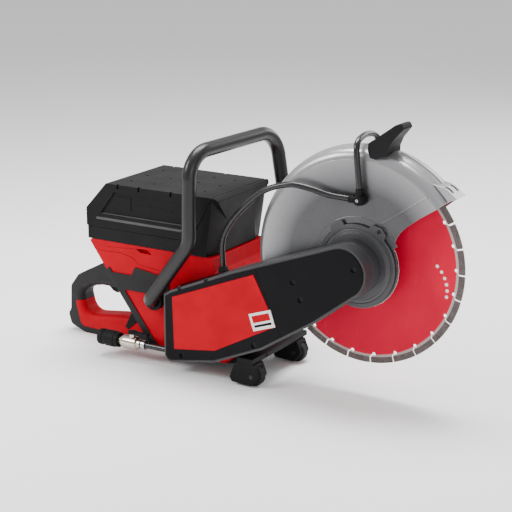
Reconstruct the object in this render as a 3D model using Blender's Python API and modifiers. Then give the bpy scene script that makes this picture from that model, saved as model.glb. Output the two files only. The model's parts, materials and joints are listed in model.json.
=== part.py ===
"""Battery rescue saw: a 350 mm cut-off saw with a belt-drive arm and a tilting guard.

Metres, +X towards the blade, +Y to the operator's left, +Z up. Every piece is placed from the
arbor (the blade's centre). The empty saw_datum then moves the whole saw so that the frame's
origin is on the floor, under the middle of the saw's box.
"""

import math

import bmesh
import bpy
from mathutils import Matrix, Vector

# ---- driving dimensions, from the arbor ----
FLOOR_Z = -0.228
REAR_END = -0.628
FRONT_END = 0.175
RIGHT_SIDE = -0.1045
LEFT_SIDE = 0.162
GAP = 0.0003
ARC_STEPS = 4

BLADE_RADIUS = 0.175
BLADE_HALF = 0.0015
SEGMENTS = 25
GULLET_DEPTH = 0.0185
GULLET_LEAN = 0.045
GULLET_HALF = 0.0016
BORE_RADIUS = 0.0127
SPINDLE_RADIUS = 0.0125

GUARD_RADIUS = 0.195
GUARD_WALL = 0.0025
GUARD_HALF_WIDTH = 0.033
GUARD_SHOULDER = 0.016
GUARD_FRONT = math.radians(39)
GUARD_REAR = math.radians(206)
GUARD_HOLE = 0.0662
GUARD_FAR_HOLE = 0.120
COLLAR_RADIUS = 0.0722
LIP_TIP = (0.1640, 0.1275)
LIP_SIDES = (-0.020, 0.016)

ARM_OUTER = -0.094
ARM_SPLIT = -0.064
ARM_INNER = -0.042
ARM_FLOOR = -0.050
ARM_RIM = 0.0045
BEARING_BOSS = 0.0335
COVER_WALL = 0.003
MOTOR_X, MOTOR_Z = -0.262, -0.122
DRIVEN_RADIUS = 0.036
DRIVE_RADIUS = 0.030
BELT_THICK = 0.0035
BELT_SIDES = (-0.086, -0.070)

BODY_RIGHT, BODY_LEFT = -0.062, 0.110
BODY_MIDDLE = 0.024
BODY_WALL = 0.004
BATTERY_RIGHT, BATTERY_LEFT = -0.064, 0.112
BATTERY_TOP = 0.085
SEAM_Z = 0.004
TRAY_Z = -0.0205

TUBE_RADIUS = 0.0125
FOOT_RIGHT = (-0.378, -0.110)
FOOT_LEFT = (-0.236, -0.110)
FOOT_RADIUS = 0.0185
FOOT_BEND = 0.017
HANDLE_HALF = 0.022
TRIGGER_PIVOT = (-0.512, -0.116)
LOCK_PIVOT = (-0.553, -0.097)

INLET_Y, INLET_Z = -0.075, -0.196
VALVE_X = -0.424
WHEEL_X, WHEEL_Z, WHEEL_RADIUS = -0.171, -0.2100, 0.0180
WHEEL_SIDES = {"right": -0.072, "left": 0.073}
TEE_X, TEE_Z = 0.006, 0.112
HOSE_RADIUS = 0.005
PORT_RADIUS = 0.0065


# ---- scene and helpers ----
def clear_scene():
    for thing in list(bpy.data.objects):
        bpy.data.objects.remove(thing, do_unlink=True)


def make_collection(name):
    collection = bpy.data.collections.new(name)
    bpy.context.scene.collection.children.link(collection)
    return collection


def make_material(name, colour, roughness, metallic=0.0):
    material = bpy.data.materials.new(name)
    material.use_nodes = True
    shader = material.node_tree.nodes["Principled BSDF"]
    shader.inputs["Base Color"].default_value = (*colour, 1.0)
    shader.inputs["Roughness"].default_value = roughness
    shader.inputs["Metallic"].default_value = metallic
    return material


clear_scene()
PARTS = make_collection("rescue_saw")
CUTTERS = make_collection("cutters")
DATUM = bpy.data.objects.new("saw_datum", None)
PARTS.objects.link(DATUM)
DATUM.location = (-(REAR_END + FRONT_END) / 2, -(RIGHT_SIDE + LEFT_SIDE) / 2, -FLOOR_Z)

RED = make_material("red_plastic", (0.62, 0.02, 0.03), 0.40)
BLACK = make_material("black_plastic", (0.022, 0.022, 0.024), 0.55)
GREY = make_material("dark_grey_plastic", (0.055, 0.055, 0.06), 0.60)
TUBE = make_material("coated_tube", (0.018, 0.018, 0.020), 0.38)
CAST = make_material("dark_casting", (0.045, 0.045, 0.05), 0.50, 0.3)
SILVER = make_material("guard_metal", (0.46, 0.46, 0.47), 0.42, 0.8)
STEEL = make_material("steel", (0.55, 0.55, 0.56), 0.30, 1.0)
NICKEL = make_material("nickel", (0.68, 0.62, 0.55), 0.22, 1.0)
BLADE_RED = make_material("blade_paint", (0.68, 0.03, 0.05), 0.45)
COPPER = make_material("copper_winding", (0.60, 0.28, 0.12), 0.35, 1.0)
RUBBER = make_material("rubber", (0.02, 0.02, 0.02), 0.80)


def add_part(name, mesh, material, pivot=(0, 0, 0)):
    """Put a mesh made in arbor coordinates into the saw, its origin moved to the pivot."""
    mesh.transform(Matrix.Translation(-Vector(pivot)))
    mesh.name = name
    mesh.materials.clear()
    mesh.materials.append(material)
    mesh.shade_smooth()
    mesh.set_sharp_from_angle(angle=math.radians(35))
    part = bpy.data.objects.new(name, mesh)
    part.location = pivot
    part.parent = DATUM
    PARTS.objects.link(part)
    return part


def boolean(part, meshes, operation):
    """Cut the part by closed meshes in arbor coordinates, or join them to it."""
    for number, mesh in enumerate(meshes):
        tool = bpy.data.objects.new(f"{part.name}_{operation.lower()}_{number}", mesh)
        tool.parent = DATUM
        tool.hide_render = True
        tool.display_type = "WIRE"
        CUTTERS.objects.link(tool)
        modifier = part.modifiers.new(f"{operation.lower()}_{number}", "BOOLEAN")
        modifier.operation = operation
        modifier.object = tool


def cut(part, *meshes):
    boolean(part, meshes, "DIFFERENCE")


def join(part, *meshes):
    boolean(part, meshes, "UNION")


def bevel(part, width, segments=1):
    modifier = part.modifiers.new("edges", "BEVEL")
    modifier.width = width
    modifier.segments = segments
    modifier.limit_method = "ANGLE"
    modifier.angle_limit = math.radians(50)


def fillet(corners, closed=True, steps=ARC_STEPS):
    """Points along straight runs whose corners (coordinates..., radius) become arcs."""
    points = []
    last = len(corners) - 1
    for number, corner in enumerate(corners):
        here, radius = Vector(corner[:-1]), corner[-1]
        if radius == 0 or (not closed and number in (0, last)):
            points.append(tuple(here))
            continue
        before = (Vector(corners[number - 1][:-1]) - here).normalized()
        after = (Vector(corners[(number + 1) % len(corners)][:-1]) - here).normalized()
        half = before.angle(after) / 2
        setback = radius / math.tan(half)
        centre = here + (before + after).normalized() * radius / math.sin(half)
        start = here + before * setback - centre
        end = here + after * setback - centre
        sweep = math.pi - 2 * half
        for step in range(steps + 1):
            share = step / steps
            a = math.sin((1 - share) * sweep) / math.sin(sweep)
            b = math.sin(share * sweep) / math.sin(sweep)
            points.append(tuple(centre + start * a + end * b))
    return points


def arc(radius, start, end, steps, centre=(0, 0)):
    """Points on an arc, angles in radians from +X towards +Z."""
    return [
        (
            centre[0] + radius * math.cos(start + (end - start) * step / steps),
            centre[1] + radius * math.sin(start + (end - start) * step / steps),
        )
        for step in range(steps + 1)
    ]


def curve_to_mesh(curve, matrix):
    """The closed mesh of a curve, its loose caps welded."""
    guide = bpy.data.objects.new("guide", curve)
    guide.matrix_world = matrix
    PARTS.objects.link(guide)
    bpy.context.view_layer.update()
    depsgraph = bpy.context.evaluated_depsgraph_get()
    mesh = bpy.data.meshes.new_from_object(guide.evaluated_get(depsgraph))
    mesh.transform(matrix)
    bpy.data.objects.remove(guide)
    shape = bmesh.new()
    shape.from_mesh(mesh)
    bmesh.ops.remove_doubles(shape, verts=shape.verts, dist=0.00001)
    bmesh.ops.recalc_face_normals(shape, faces=shape.faces)
    shape.to_mesh(mesh)
    shape.free()
    return mesh


def slab(rings, low_y, high_y):
    """Flat X-Z outlines extruded along Y. An outline inside another is a hole."""
    curve = bpy.data.curves.new("outline", "CURVE")
    curve.dimensions = "2D"
    curve.fill_mode = "BOTH"
    curve.extrude = (high_y - low_y) / 2
    for ring in rings:
        spline = curve.splines.new("POLY")
        spline.points.add(len(ring) - 1)
        spline.use_cyclic_u = True
        for point, (x, z) in zip(spline.points, ring):
            point.co = (x, z, 0, 1)
    turn = Matrix.Rotation(math.pi / 2, 4, "X")
    return curve_to_mesh(curve, Matrix.Translation((0, (low_y + high_y) / 2, 0)) @ turn)


def tube(points, radius, resolution=2):
    """A round tube along a poly path, with filled ends."""
    curve = bpy.data.curves.new("path", "CURVE")
    curve.dimensions = "3D"
    curve.bevel_depth = radius
    curve.bevel_resolution = resolution
    curve.use_fill_caps = True
    spline = curve.splines.new("POLY")
    spline.points.add(len(points) - 1)
    for point, place in zip(spline.points, points):
        point.co = (*place, 1)
    return curve_to_mesh(curve, Matrix())


def smooth_path(knots, steps):
    """Points on a Catmull-Rom curve through the knots."""
    path = [Vector(knot) for knot in knots]
    padded = [2 * path[0] - path[1], *path, 2 * path[-1] - path[-2]]
    points = []
    for a, b, c, d in zip(padded, padded[1:], padded[2:], padded[3:]):
        for step in range(steps):
            t = step / steps
            points.append(
                0.5 * (2 * b + (c - a) * t + (2 * a - 5 * b + 4 * c - d) * t**2
                       + (3 * b - a - 3 * c + d) * t**3)
            )
    return [tuple(point) for point in points] + [tuple(path[-1])]


AXES = {
    "Y": Matrix.Rotation(-math.pi / 2, 4, "X"),
    "X": Matrix.Rotation(math.pi / 2, 4, "Y"),
    "Z": Matrix(),
}


def turned(profile, centre=(0, 0, 0), axis="Y", steps=24):
    """A closed (radius, height) profile turned about an axis; height runs along the axis.

    The outer side of the profile runs from its highest point to its lowest.
    """
    mesh = bpy.data.meshes.new("profile")
    corners = [(radius, 0, height) for radius, height in profile]
    edges = [(n, n + 1) for n in range(len(profile) - 1)]
    if min(radius for radius, _ in profile) > 0:
        edges.append((len(profile) - 1, 0))
    mesh.from_pydata(corners, edges, [])
    guide = bpy.data.objects.new("guide", mesh)
    PARTS.objects.link(guide)
    screw = guide.modifiers.new("turn", "SCREW")
    screw.steps = screw.render_steps = steps
    screw.use_merge_vertices = True
    screw.merge_threshold = 0.00001
    bpy.context.view_layer.update()
    depsgraph = bpy.context.evaluated_depsgraph_get()
    result = bpy.data.meshes.new_from_object(guide.evaluated_get(depsgraph))
    bpy.data.objects.remove(guide)
    result.transform(Matrix.Translation(centre) @ AXES[axis])
    shape = bmesh.new()
    shape.from_mesh(result)
    bmesh.ops.remove_doubles(shape, verts=shape.verts, dist=0.00001)
    bmesh.ops.recalc_face_normals(shape, faces=shape.faces)
    shape.to_mesh(result)
    shape.free()
    return result


def rod(radius, low, high, centre=(0, 0, 0), axis="Y", steps=20):
    """A plain cylinder from low to high along its axis."""
    return turned([(0, high), (radius, high), (radius, low), (0, low)], centre, axis, steps)


def sleeve(outer, inner, low, high, centre=(0, 0, 0), axis="Y", steps=24):
    """A plain ring from low to high along its axis."""
    profile = [(inner, high), (outer, high), (outer, low), (inner, low)]
    return turned(profile, centre, axis, steps)


def box(low, high):
    mesh = bpy.data.meshes.new("box")
    shape = bmesh.new()
    bmesh.ops.create_cube(shape, size=1)
    size = [b - a for a, b in zip(low, high)]
    middle = [(a + b) / 2 for a, b in zip(low, high)]
    bmesh.ops.scale(shape, vec=size, verts=shape.verts)
    bmesh.ops.translate(shape, vec=middle, verts=shape.verts)
    shape.to_mesh(mesh)
    shape.free()
    return mesh


def inset(outline, distance):
    """A closed outline moved inwards by a distance, or outwards by a negative one."""
    area = sum(
        a[0] * b[1] - b[0] * a[1] for a, b in zip(outline, outline[1:] + outline[:1])
    )
    side = 1 if area > 0 else -1
    moved = []
    for number, corner in enumerate(outline):
        here = Vector(corner)
        into = (here - Vector(outline[number - 1])).normalized()
        out = (Vector(outline[(number + 1) % len(outline)]) - here).normalized()
        normal_in = Vector((-into.y, into.x)) * side
        normal_out = Vector((-out.y, out.x)) * side
        middle = (normal_in + normal_out).normalized()
        moved.append(tuple(here + middle * distance / middle.dot(normal_in)))
    return moved


def hull_of_circles(first, first_radius, second, second_radius, steps=12):
    """The belt line: two arcs joined by their outer tangents."""
    a, b = Vector(first), Vector(second)
    along = math.atan2(b.y - a.y, b.x - a.x)
    lean = math.acos((first_radius - second_radius) / (b - a).length)
    rear = arc(first_radius, along + lean, along + 2 * math.pi - lean, steps, first)
    front = arc(second_radius, along - lean, along + lean, steps, second)
    return rear + front


# ---- outlines shared by several pieces (X, Z, corner radius) ----
BODY_CORNERS = [
    (-0.525, TRAY_Z, 0.004), (-0.486, -0.074, 0.004), (-0.388, -0.204, 0.006),
    (-0.235, -0.204, 0.006), (-0.204, -0.170, 0.008), (-0.204, -0.085, 0.008),
    (-0.258, -0.045, 0.008), (-0.262, TRAY_Z, 0.003),
]
ARM_CORNERS = [
    (-0.343, -0.086, 0.006), (-0.343, -0.212, 0.014), (-0.239, -0.194, 0.012),
    (-0.145, -0.154, 0.020), (-0.049, -0.093, 0.010), (0.018, -0.046, 0.0),
]
ARM_TOP = [(-0.207, -0.028), (-0.330, -0.080)]


def arm_outline():
    """The arm from above: straight rear block, tapering to the round end at the arbor."""
    lower = fillet(ARM_CORNERS)
    nose = arc(0.045, math.radians(-60), math.radians(112), 12)
    return lower[:-1] + nose + ARM_TOP


def past_seam(outline, rear):
    """The part of the arm outline behind or ahead of the slanted seam between its covers."""
    top, bottom = Vector((-0.160, -0.008)), Vector((-0.108, -0.124))
    run = (bottom - top).normalized()
    across = Vector((run.y, -run.x)) * (1 if rear else -1)
    kept = []
    for a, b in zip(outline, outline[1:] + outline[:1]):
        a, b = Vector(a), Vector(b)
        side_a = (a - top).dot(across) - GAP / 2
        side_b = (b - top).dot(across) - GAP / 2
        if side_a > 0:
            kept.append(tuple(a))
        if side_a * side_b < 0:
            kept.append(tuple(a.lerp(b, side_a / (side_a - side_b))))
    return kept


# ---- body ----
def arm_pocket():
    """Room for the arm in the body's right side."""
    return slab([inset(arm_outline(), -0.0015)], -0.2, ARM_INNER + GAP)


def body_shells():
    outline = fillet(BODY_CORNERS)
    hollow = inset(fillet(BODY_CORNERS, steps=1), BODY_WALL)
    right = add_part(
        "body_shell_right", slab([outline], BODY_RIGHT, BODY_MIDDLE - GAP / 2), RED)
    left = add_part(
        "body_shell_left", slab([outline], BODY_MIDDLE + GAP / 2, BODY_LEFT), RED)
    cut(right, slab([hollow], ARM_INNER + BODY_WALL, BODY_MIDDLE + 0.01), arm_pocket())
    cut(right, rod(0.0095, -0.05, -0.03, (MOTOR_X, 0, MOTOR_Z)))
    cut(left, slab([hollow], BODY_MIDDLE - 0.01, BODY_LEFT - BODY_WALL))
    cut(left, rod(0.0076, BODY_LEFT - 0.02, BODY_LEFT + 0.02, (-0.284, 0, -0.050)))


def side_panels():
    """The dark panels below the red body, one on each side, from the rear edge to the bottom."""
    outline = fillet([
        (-0.480, -0.076, 0.002), (-0.432, -0.076, 0.002), (-0.424, -0.060, 0.002),
        (-0.352, -0.070, 0.002), (-0.352, -0.104, 0.002), (-0.448, -0.104, 0.002),
        (-0.374, -0.202, 0.001), (-0.386, -0.202, 0.001),
    ], steps=1)
    near = (BODY_RIGHT - GAP - 0.002, BODY_RIGHT - GAP)
    far = (BODY_LEFT + GAP, BODY_LEFT + GAP + 0.002)
    add_part("side_panel_right", slab([outline], *near), GREY)
    add_part("side_panel_left", slab([outline], *far), GREY)


def battery_tray():
    tray = add_part("battery_tray", box(
        (-0.526, BATTERY_RIGHT + 0.001, TRAY_Z + GAP),
        (-0.306, BATTERY_LEFT - 0.001, SEAM_Z - GAP),
    ), BLACK)
    cut(tray, box((-0.51, -0.045, -0.010), (-0.2, 0.093, 0.1)))
    bevel(tray, 0.001)


def front_housing():
    outline = fillet([
        (-0.304, TRAY_Z + GAP, 0), (-0.2665, TRAY_Z + GAP, 0.003),
        (-0.2515, 0.080, 0.004), (-0.2560, BATTERY_TOP, 0), (-0.2605, BATTERY_TOP, 0),
        (-0.304, 0.006, 0),
    ])
    part = add_part("front_housing", slab([outline], BATTERY_RIGHT, BATTERY_LEFT), BLACK)
    cut(part, box((-0.292, -0.052, -0.1), (-0.270, 0.100, 0.030)))


# ---- battery ----
def battery():
    lid = add_part("battery_lid", slab([fillet([
        (-0.527, 0.028, 0), (-0.290 - 0.0025, 0.028, 0), (-0.2612, BATTERY_TOP, 0.002),
        (-0.482, BATTERY_TOP, 0.003), (-0.527, 0.036, 0.003),
    ])], BATTERY_RIGHT, BATTERY_LEFT), BLACK)
    for side, y in (("right", BATTERY_RIGHT), ("left", BATTERY_LEFT)):
        for x in (-0.452, -0.407, -0.340):
            cut(lid, box((x - 0.002, y - 0.005, 0.078), (x + 0.002, y + 0.005, 0.1)))
        recess = fillet([
            (-0.500, 0.038, 0.001), (-0.312, 0.038, 0.001), (-0.296, 0.068, 0.001),
            (-0.470, 0.068, 0.001)], steps=1)
        cut(lid, slab([recess], y - 0.003, y + 0.003))
    cut(lid, box((-0.49, -0.050, 0.0), (-0.31, 0.098, 0.070)))
    base = add_part("battery_base", slab([fillet([
        (-0.527, SEAM_Z, 0.002), (-0.3075, SEAM_Z, 0),
        (-0.2935, 0.028 - GAP, 0), (-0.527, 0.028 - GAP, 0),
    ])], BATTERY_RIGHT, BATTERY_LEFT), BLACK)
    cut(base, box((-0.51, -0.050, 0.0085), (-0.32, 0.098, 0.1)))
    add_part("battery_cells", box((-0.485, -0.045, 0.009), (-0.325, 0.093, 0.066)), GREY)
    middle = BODY_MIDDLE
    cut(base, box((-0.54, middle - 0.0255, 0.0068), (-0.518, middle + 0.0255, 0.0242)))
    low, high = (-0.533, middle - 0.025, 0.0073), (-0.5235, middle + 0.025, 0.0237)
    latch = add_part("battery_latch", box(low, high), RED, (-0.528, middle, 0.0155))
    bevel(latch, 0.0015)


# ---- front handle ----
def handle_tube(radius, extra=0.0):
    """The bent tube from foot to foot, each end longer by the extra length."""
    corners = [Vector(corner) for corner in (
        (FOOT_RIGHT[0], BODY_RIGHT - 0.004, FOOT_RIGHT[1]), (FOOT_RIGHT[0], -0.091, FOOT_RIGHT[1]),
        (-0.290, -0.091, 0.007), (-0.286, -0.093, 0.163), (-0.264, 0.150, 0.166),
        (FOOT_LEFT[0], 0.149, -0.005), (FOOT_LEFT[0], 0.142, FOOT_LEFT[1]),
        (FOOT_LEFT[0], BODY_LEFT + 0.004, FOOT_LEFT[1]),
    )]
    bends = (0, FOOT_BEND, 0.045, 0.045, 0.044, 0.040, FOOT_BEND, 0)
    corners[0] += (corners[0] - corners[1]).normalized() * extra
    corners[-1] += (corners[-1] - corners[-2]).normalized() * extra
    path = fillet([(*corner, bend) for corner, bend in zip(corners, bends)], False, 5)
    return tube(path, radius, 3)


def front_handle():
    """The tube, and the two flanged sockets that hold its feet to the body's sides."""
    add_part("front_handle", handle_tube(TUBE_RADIUS), TUBE)
    sides = (
        ("handle_boss_right", FOOT_RIGHT, BODY_RIGHT - 0.0145, BODY_RIGHT - 0.0026),
        ("handle_boss_left", FOOT_LEFT, BODY_LEFT + 2 * GAP, BODY_LEFT + 0.0125),
    )
    for name, (x, z), low, high in sides:
        boss = add_part(name, rod(FOOT_RADIUS, low, high, (x, 0, z)), BLACK)
        cut(boss, handle_tube(TUBE_RADIUS + 2 * GAP, 0.001))


# ---- rear handle ----
def rear_handle():
    outer = fillet([
        (-0.5055, -0.0735, 0), (-0.541, -0.084, 0.02), (-0.602, -0.116, 0.022),
        (-0.620, -0.140, 0.014), (-0.622, -0.186, 0.006), (REAR_END, -0.196, 0.008),
        (-0.622, -0.216, 0.010), (-0.590, FLOOR_Z, 0.014), (-0.480, FLOOR_Z, 0.006),
        (-0.395, -0.2055, 0), (-0.3886, -0.2048, 0), (-0.4872, -0.0740, 0),
    ])
    hole = fillet([
        (-0.597, -0.150, 0.012), (-0.574, -0.1365, 0.014), (-0.552, -0.132, 0.004),
        (-0.455, -0.132, 0.001), (-0.4205, -0.177, 0.003), (-0.509, -0.182, 0.010),
        (-0.588, -0.192, 0.022),
    ])
    near = (BODY_MIDDLE - HANDLE_HALF, BODY_MIDDLE - GAP / 2)
    far = (BODY_MIDDLE + GAP / 2, BODY_MIDDLE + HANDLE_HALF)
    x, z = TRIGGER_PIVOT
    y = BODY_MIDDLE
    slot = box((x - 0.048, y - 0.0085, z - 0.030), (x + 0.012, y + 0.0085, z + 0.010))
    lock_x = LOCK_PIVOT[0]
    lock_slot = box((lock_x - 0.033, y - 0.0065, -0.1185), (lock_x + 0.007, y + 0.0065, -0.05))
    for name, sides in (("rear_handle_right", near), ("rear_handle_left", far)):
        half = add_part(name, slab([outer, hole], *sides), BLACK)
        cut(half, slot, lock_slot)


def handle_panels():
    """The red lower sides of the rear handle."""
    outline = fillet([
        (-0.613, -0.166, 0.003), (-0.602, -0.166, 0.002), (-0.593, -0.197, 0.020),
        (-0.509, -0.1865, 0.010), (-0.458, -0.184, 0.004), (-0.448, -0.2045, 0.004),
        (-0.500, -0.218, 0.006), (-0.592, -0.214, 0.014),
    ], steps=3)
    right, left = BODY_MIDDLE - HANDLE_HALF - GAP, BODY_MIDDLE + HANDLE_HALF + GAP
    add_part("handle_panel_right", slab([outline], right - 0.002, right), RED)
    add_part("handle_panel_left", slab([outline], left, left + 0.002), RED)


def trigger():
    x, z = TRIGGER_PIVOT
    outline = fillet([
        (x + 0.006, z + 0.006, 0.003), (x + 0.003, z - 0.014, 0.003),
        (x - 0.010, z - 0.0285, 0.005), (x - 0.021, z - 0.025, 0.005),
        (x - 0.036, z - 0.012, 0.002), (x - 0.036, z, 0.002),
    ], steps=2)
    pivot = (x, BODY_MIDDLE, z)
    add_part("trigger", slab([outline], BODY_MIDDLE - 0.008, BODY_MIDDLE + 0.008), BLACK, pivot)


def lock_off_lever():
    """A safety lever let into the top of the rear handle, pressed down by the palm."""
    x, z = LOCK_PIVOT
    outline = fillet([
        (x + 0.0045, z + 0.0085, 0.001), (x - 0.030, z - 0.0095, 0.002),
        (x - 0.030, z - 0.0145, 0.001), (x - 0.004, z - 0.005, 0), (x + 0.0045, z - 0.003, 0.001),
    ], steps=2)
    sides = (BODY_MIDDLE - 0.006, BODY_MIDDLE + 0.006)
    add_part("lock_off_lever", slab([outline], *sides), RED, (x, BODY_MIDDLE, z))


# ---- arm and drive ----
def arm():
    outline = arm_outline()
    housing = add_part("arm_housing", slab([outline], ARM_SPLIT + GAP, ARM_INNER), CAST)
    pocket = slab([inset(outline, ARM_RIM)], ARM_SPLIT - 0.01, ARM_FLOOR)
    cut(housing, pocket)
    join(housing, rod(BEARING_BOSS, ARM_SPLIT + GAP, ARM_FLOOR + 0.003, steps=28))
    cut(housing, rod(0.0265, -0.1, 0, steps=28), rod(0.0095, -0.1, 0, (MOTOR_X, 0, MOTOR_Z)))
    for name, is_rear, material in (("belt_cover", True, BLACK), ("arm_cover", False, BLACK)):
        shape = past_seam(outline, is_rear)
        cover = add_part(name, slab([shape], ARM_OUTER, ARM_SPLIT), material)
        room = past_seam(inset(outline, COVER_WALL), is_rear)
        cut(cover, slab([widen_seam(room, is_rear)], ARM_OUTER + COVER_WALL, 0))
        if is_rear:
            cut(cover, slab([panel_outline(-0.0005)], -0.2, ARM_OUTER + 0.0012))
    raised, sunk = ARM_OUTER - 0.0004, ARM_OUTER + 0.0012 - GAP
    add_part("cover_panel", slab([panel_outline(0)], raised, sunk), RED)


def widen_seam(room, is_rear):
    """Let the hollow run out through the seam, so the belt passes from cover to cover."""
    push = 0.01 if is_rear else -0.01
    return [(x + push if -0.175 < x < -0.095 else x, z) for x, z in room]


def panel_outline(distance):
    corners = [
        (-0.324, -0.089), (-0.160, -0.024), (-0.116, -0.108), (-0.237, -0.172), (-0.321, -0.184)]
    return inset(corners, distance)


def pulleys_and_belt():
    low, high = BELT_SIDES
    lip = 0.0012
    for name, radius, bore, centre in (
        ("drive_pulley", DRIVE_RADIUS, 0.008 + GAP, (MOTOR_X, 0, MOTOR_Z)),
        ("driven_pulley", DRIVEN_RADIUS, 0.0105 + GAP, (0, 0, 0)),
    ):
        profile = [
            (bore, high + lip), (radius + 0.001, high + lip), (radius + 0.001, high + GAP),
            (radius, high + GAP), (radius, low - GAP), (radius + 0.001, low - GAP),
            (radius + 0.001, low - lip), (bore, low - lip),
        ]
        add_part(name, turned(profile, centre), STEEL, centre)
    inner = hull_of_circles(
        (MOTOR_X, MOTOR_Z), DRIVE_RADIUS + GAP, (0, 0), DRIVEN_RADIUS + GAP, 20)
    outer = inset(inner, -BELT_THICK)
    add_part("drive_belt", slab([outer, inner], low, high), RUBBER)


def motor():
    centre = (MOTOR_X, 0, MOTOR_Z)
    add_part("motor_rotor", turned([
        (0, 0.078), (0.008, 0.078), (0.008, 0.055), (0.026, 0.055), (0.026, -0.015),
        (0.008, -0.015), (0.008, -0.088), (0, -0.088)], centre), STEEL, centre)
    add_part("motor_stator", sleeve(0.043, 0.027, -0.012, 0.052, centre), COPPER)
    add_part("motor_can", turned([
        (0.0435, 0.060), (0.048, 0.060), (0.048, -0.024), (0.0115, -0.024),
        (0.0115, -0.020), (0.0435, -0.020)], centre), CAST)
    add_part("motor_bearing", sleeve(0.016, 0.0083, 0.0655, 0.0745, centre), STEEL)
    add_part("controller", box((-0.420, -0.030, -0.085), (-0.340, 0.080, -0.030)), GREY)


def hub_and_spindle():
    """The bearing housing that the guard turns on, and the spindle in it."""
    add_part("hub_housing", turned([
        (0.0265, -0.0290), (0.0650, -0.0290), (0.0650, -0.0340), (0.0700, -0.0340),
        (0.0700, -0.0390), (0.0530, -0.0390), (0.0530, ARM_INNER + GAP),
        (0.0265, ARM_INNER + GAP)], steps=32), CAST)
    add_part("guard_retainer", sleeve(0.073, 0.0500, -0.0287, -0.0262, steps=28), STEEL)
    add_part("spindle", turned([
        (0, 0.0095), (SPINDLE_RADIUS, 0.0095), (SPINDLE_RADIUS, -0.066), (0.0105, -0.066),
        (0.0105, -0.0885), (0, -0.0885)]), STEEL)
    cut(bpy.data.objects["spindle"], rod(0.0064, -0.030, 0.02))
    for name, low in (("spindle_bearing_outer", -0.0610), ("spindle_bearing_inner", -0.0390)):
        add_part(name, sleeve(0.0260, SPINDLE_RADIUS + GAP, low, low + 0.009), STEEL)


# ---- blade ----
def blade():
    """A disc whose rim is cut into segments by slanted gullets, with the bore in its middle."""
    pitch = 2 * math.pi / SEGMENTS
    half_slot = GULLET_HALF / BLADE_RADIUS
    floor = BLADE_RADIUS - GULLET_DEPTH
    rim = []
    for number in range(SEGMENTS):
        start = number * pitch + half_slot
        end = (number + 1) * pitch - half_slot
        rim += arc(BLADE_RADIUS, start, end, 2)
        rim += arc(floor, end + GULLET_LEAN, end + 2 * half_slot + GULLET_LEAN, 1)
    bore = arc(BORE_RADIUS + GAP, 0, 2 * math.pi, 24)[:-1]
    add_part("diamond_blade", slab([rim, bore], -BLADE_HALF, BLADE_HALF), BLADE_RED)


def flanges():
    """Two dished flanges clamp the blade, held by the bolt in the spindle's end."""
    bore = BORE_RADIUS + GAP
    near = BLADE_HALF + GAP
    for name, side in (("inner_flange", -1), ("outer_flange", 1)):
        profile = [(bore, near), (0.045, near), (0.045, near + 0.004), (0.024, 0.0095), (bore, 0.0095)]
        add_part(name, turned([(radius, side * height) for radius, height in profile]), STEEL)
    add_part("arbor_bolt", turned([
        (0, 0.022), (0.0135, 0.022), (0.0135, 0.0125), (0.020, 0.0125), (0.020, 0.0098),
        (0.006, 0.0098), (0.006, -0.026), (0, -0.026)], steps=18), STEEL)


# ---- guard ----
def guard_shell():
    """A turned U channel over the blade, cut to the guard's sector. Turned about the arbor."""
    radius, half, wall, soft = GUARD_RADIUS, GUARD_HALF_WIDTH, GUARD_WALL, GUARD_SHOULDER
    bend = 3
    outer = [
        (radius - soft + soft * math.sin(a), half - soft + soft * math.cos(a))
        for a in (math.pi / 2 * n / bend for n in range(bend + 1))
    ]
    inner = [
        (radius - soft + (soft - wall) * math.sin(a), half - soft + (soft - wall) * math.cos(a))
        for a in (math.pi / 2 * n / bend for n in range(bend + 1))
    ]
    outer += [(r, -y) for r, y in reversed(outer)]
    inner = [(r, -y) for r, y in inner] + [(r, y) for r, y in reversed(inner)]
    profile = (
        [(GUARD_FAR_HOLE, half)] + outer + [(GUARD_HOLE, -half), (GUARD_HOLE, wall - half)]
        + inner + [(GUARD_FAR_HOLE, half - wall)]
    )
    shell = add_part("guard_shell", turned(profile, steps=60), SILVER)
    open_sector = (
        arc(COLLAR_RADIUS, GUARD_FRONT, GUARD_REAR - 2 * math.pi, 16)
        + arc(0.30, GUARD_REAR - 2 * math.pi, GUARD_FRONT, 16)
    )
    cut(shell, slab([open_sector], -0.05, 0.05))
    cut(shell, rod(0.0058, -0.05, -0.02, (TEE_X, 0, TEE_Z), steps=16))
    return shell


def guard_deflector():
    """The lip on the rim at the guard's front, which turns the slurry away."""
    under = arc(GUARD_RADIUS + GAP, math.radians(50), math.radians(39.2), 6)
    add_part("guard_deflector", slab([[LIP_TIP, *under]], *LIP_SIDES), SILVER)


def guard_lever():
    base = arc(GUARD_RADIUS + GAP, math.radians(87), math.radians(75.5), 6)
    horn = fillet([
        (0.0490, 0.199, 0), (0.0700, 0.2285, 0.004), (0.0655, 0.2368, 0.004),
        (0.0540, 0.2335, 0.008), (0.0130, 0.2040, 0),
    ], closed=False, steps=3)
    lever = add_part("guard_lever", slab([base + horn], -0.014, 0.014), BLACK)
    bevel(lever, 0.002, 2)


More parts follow.
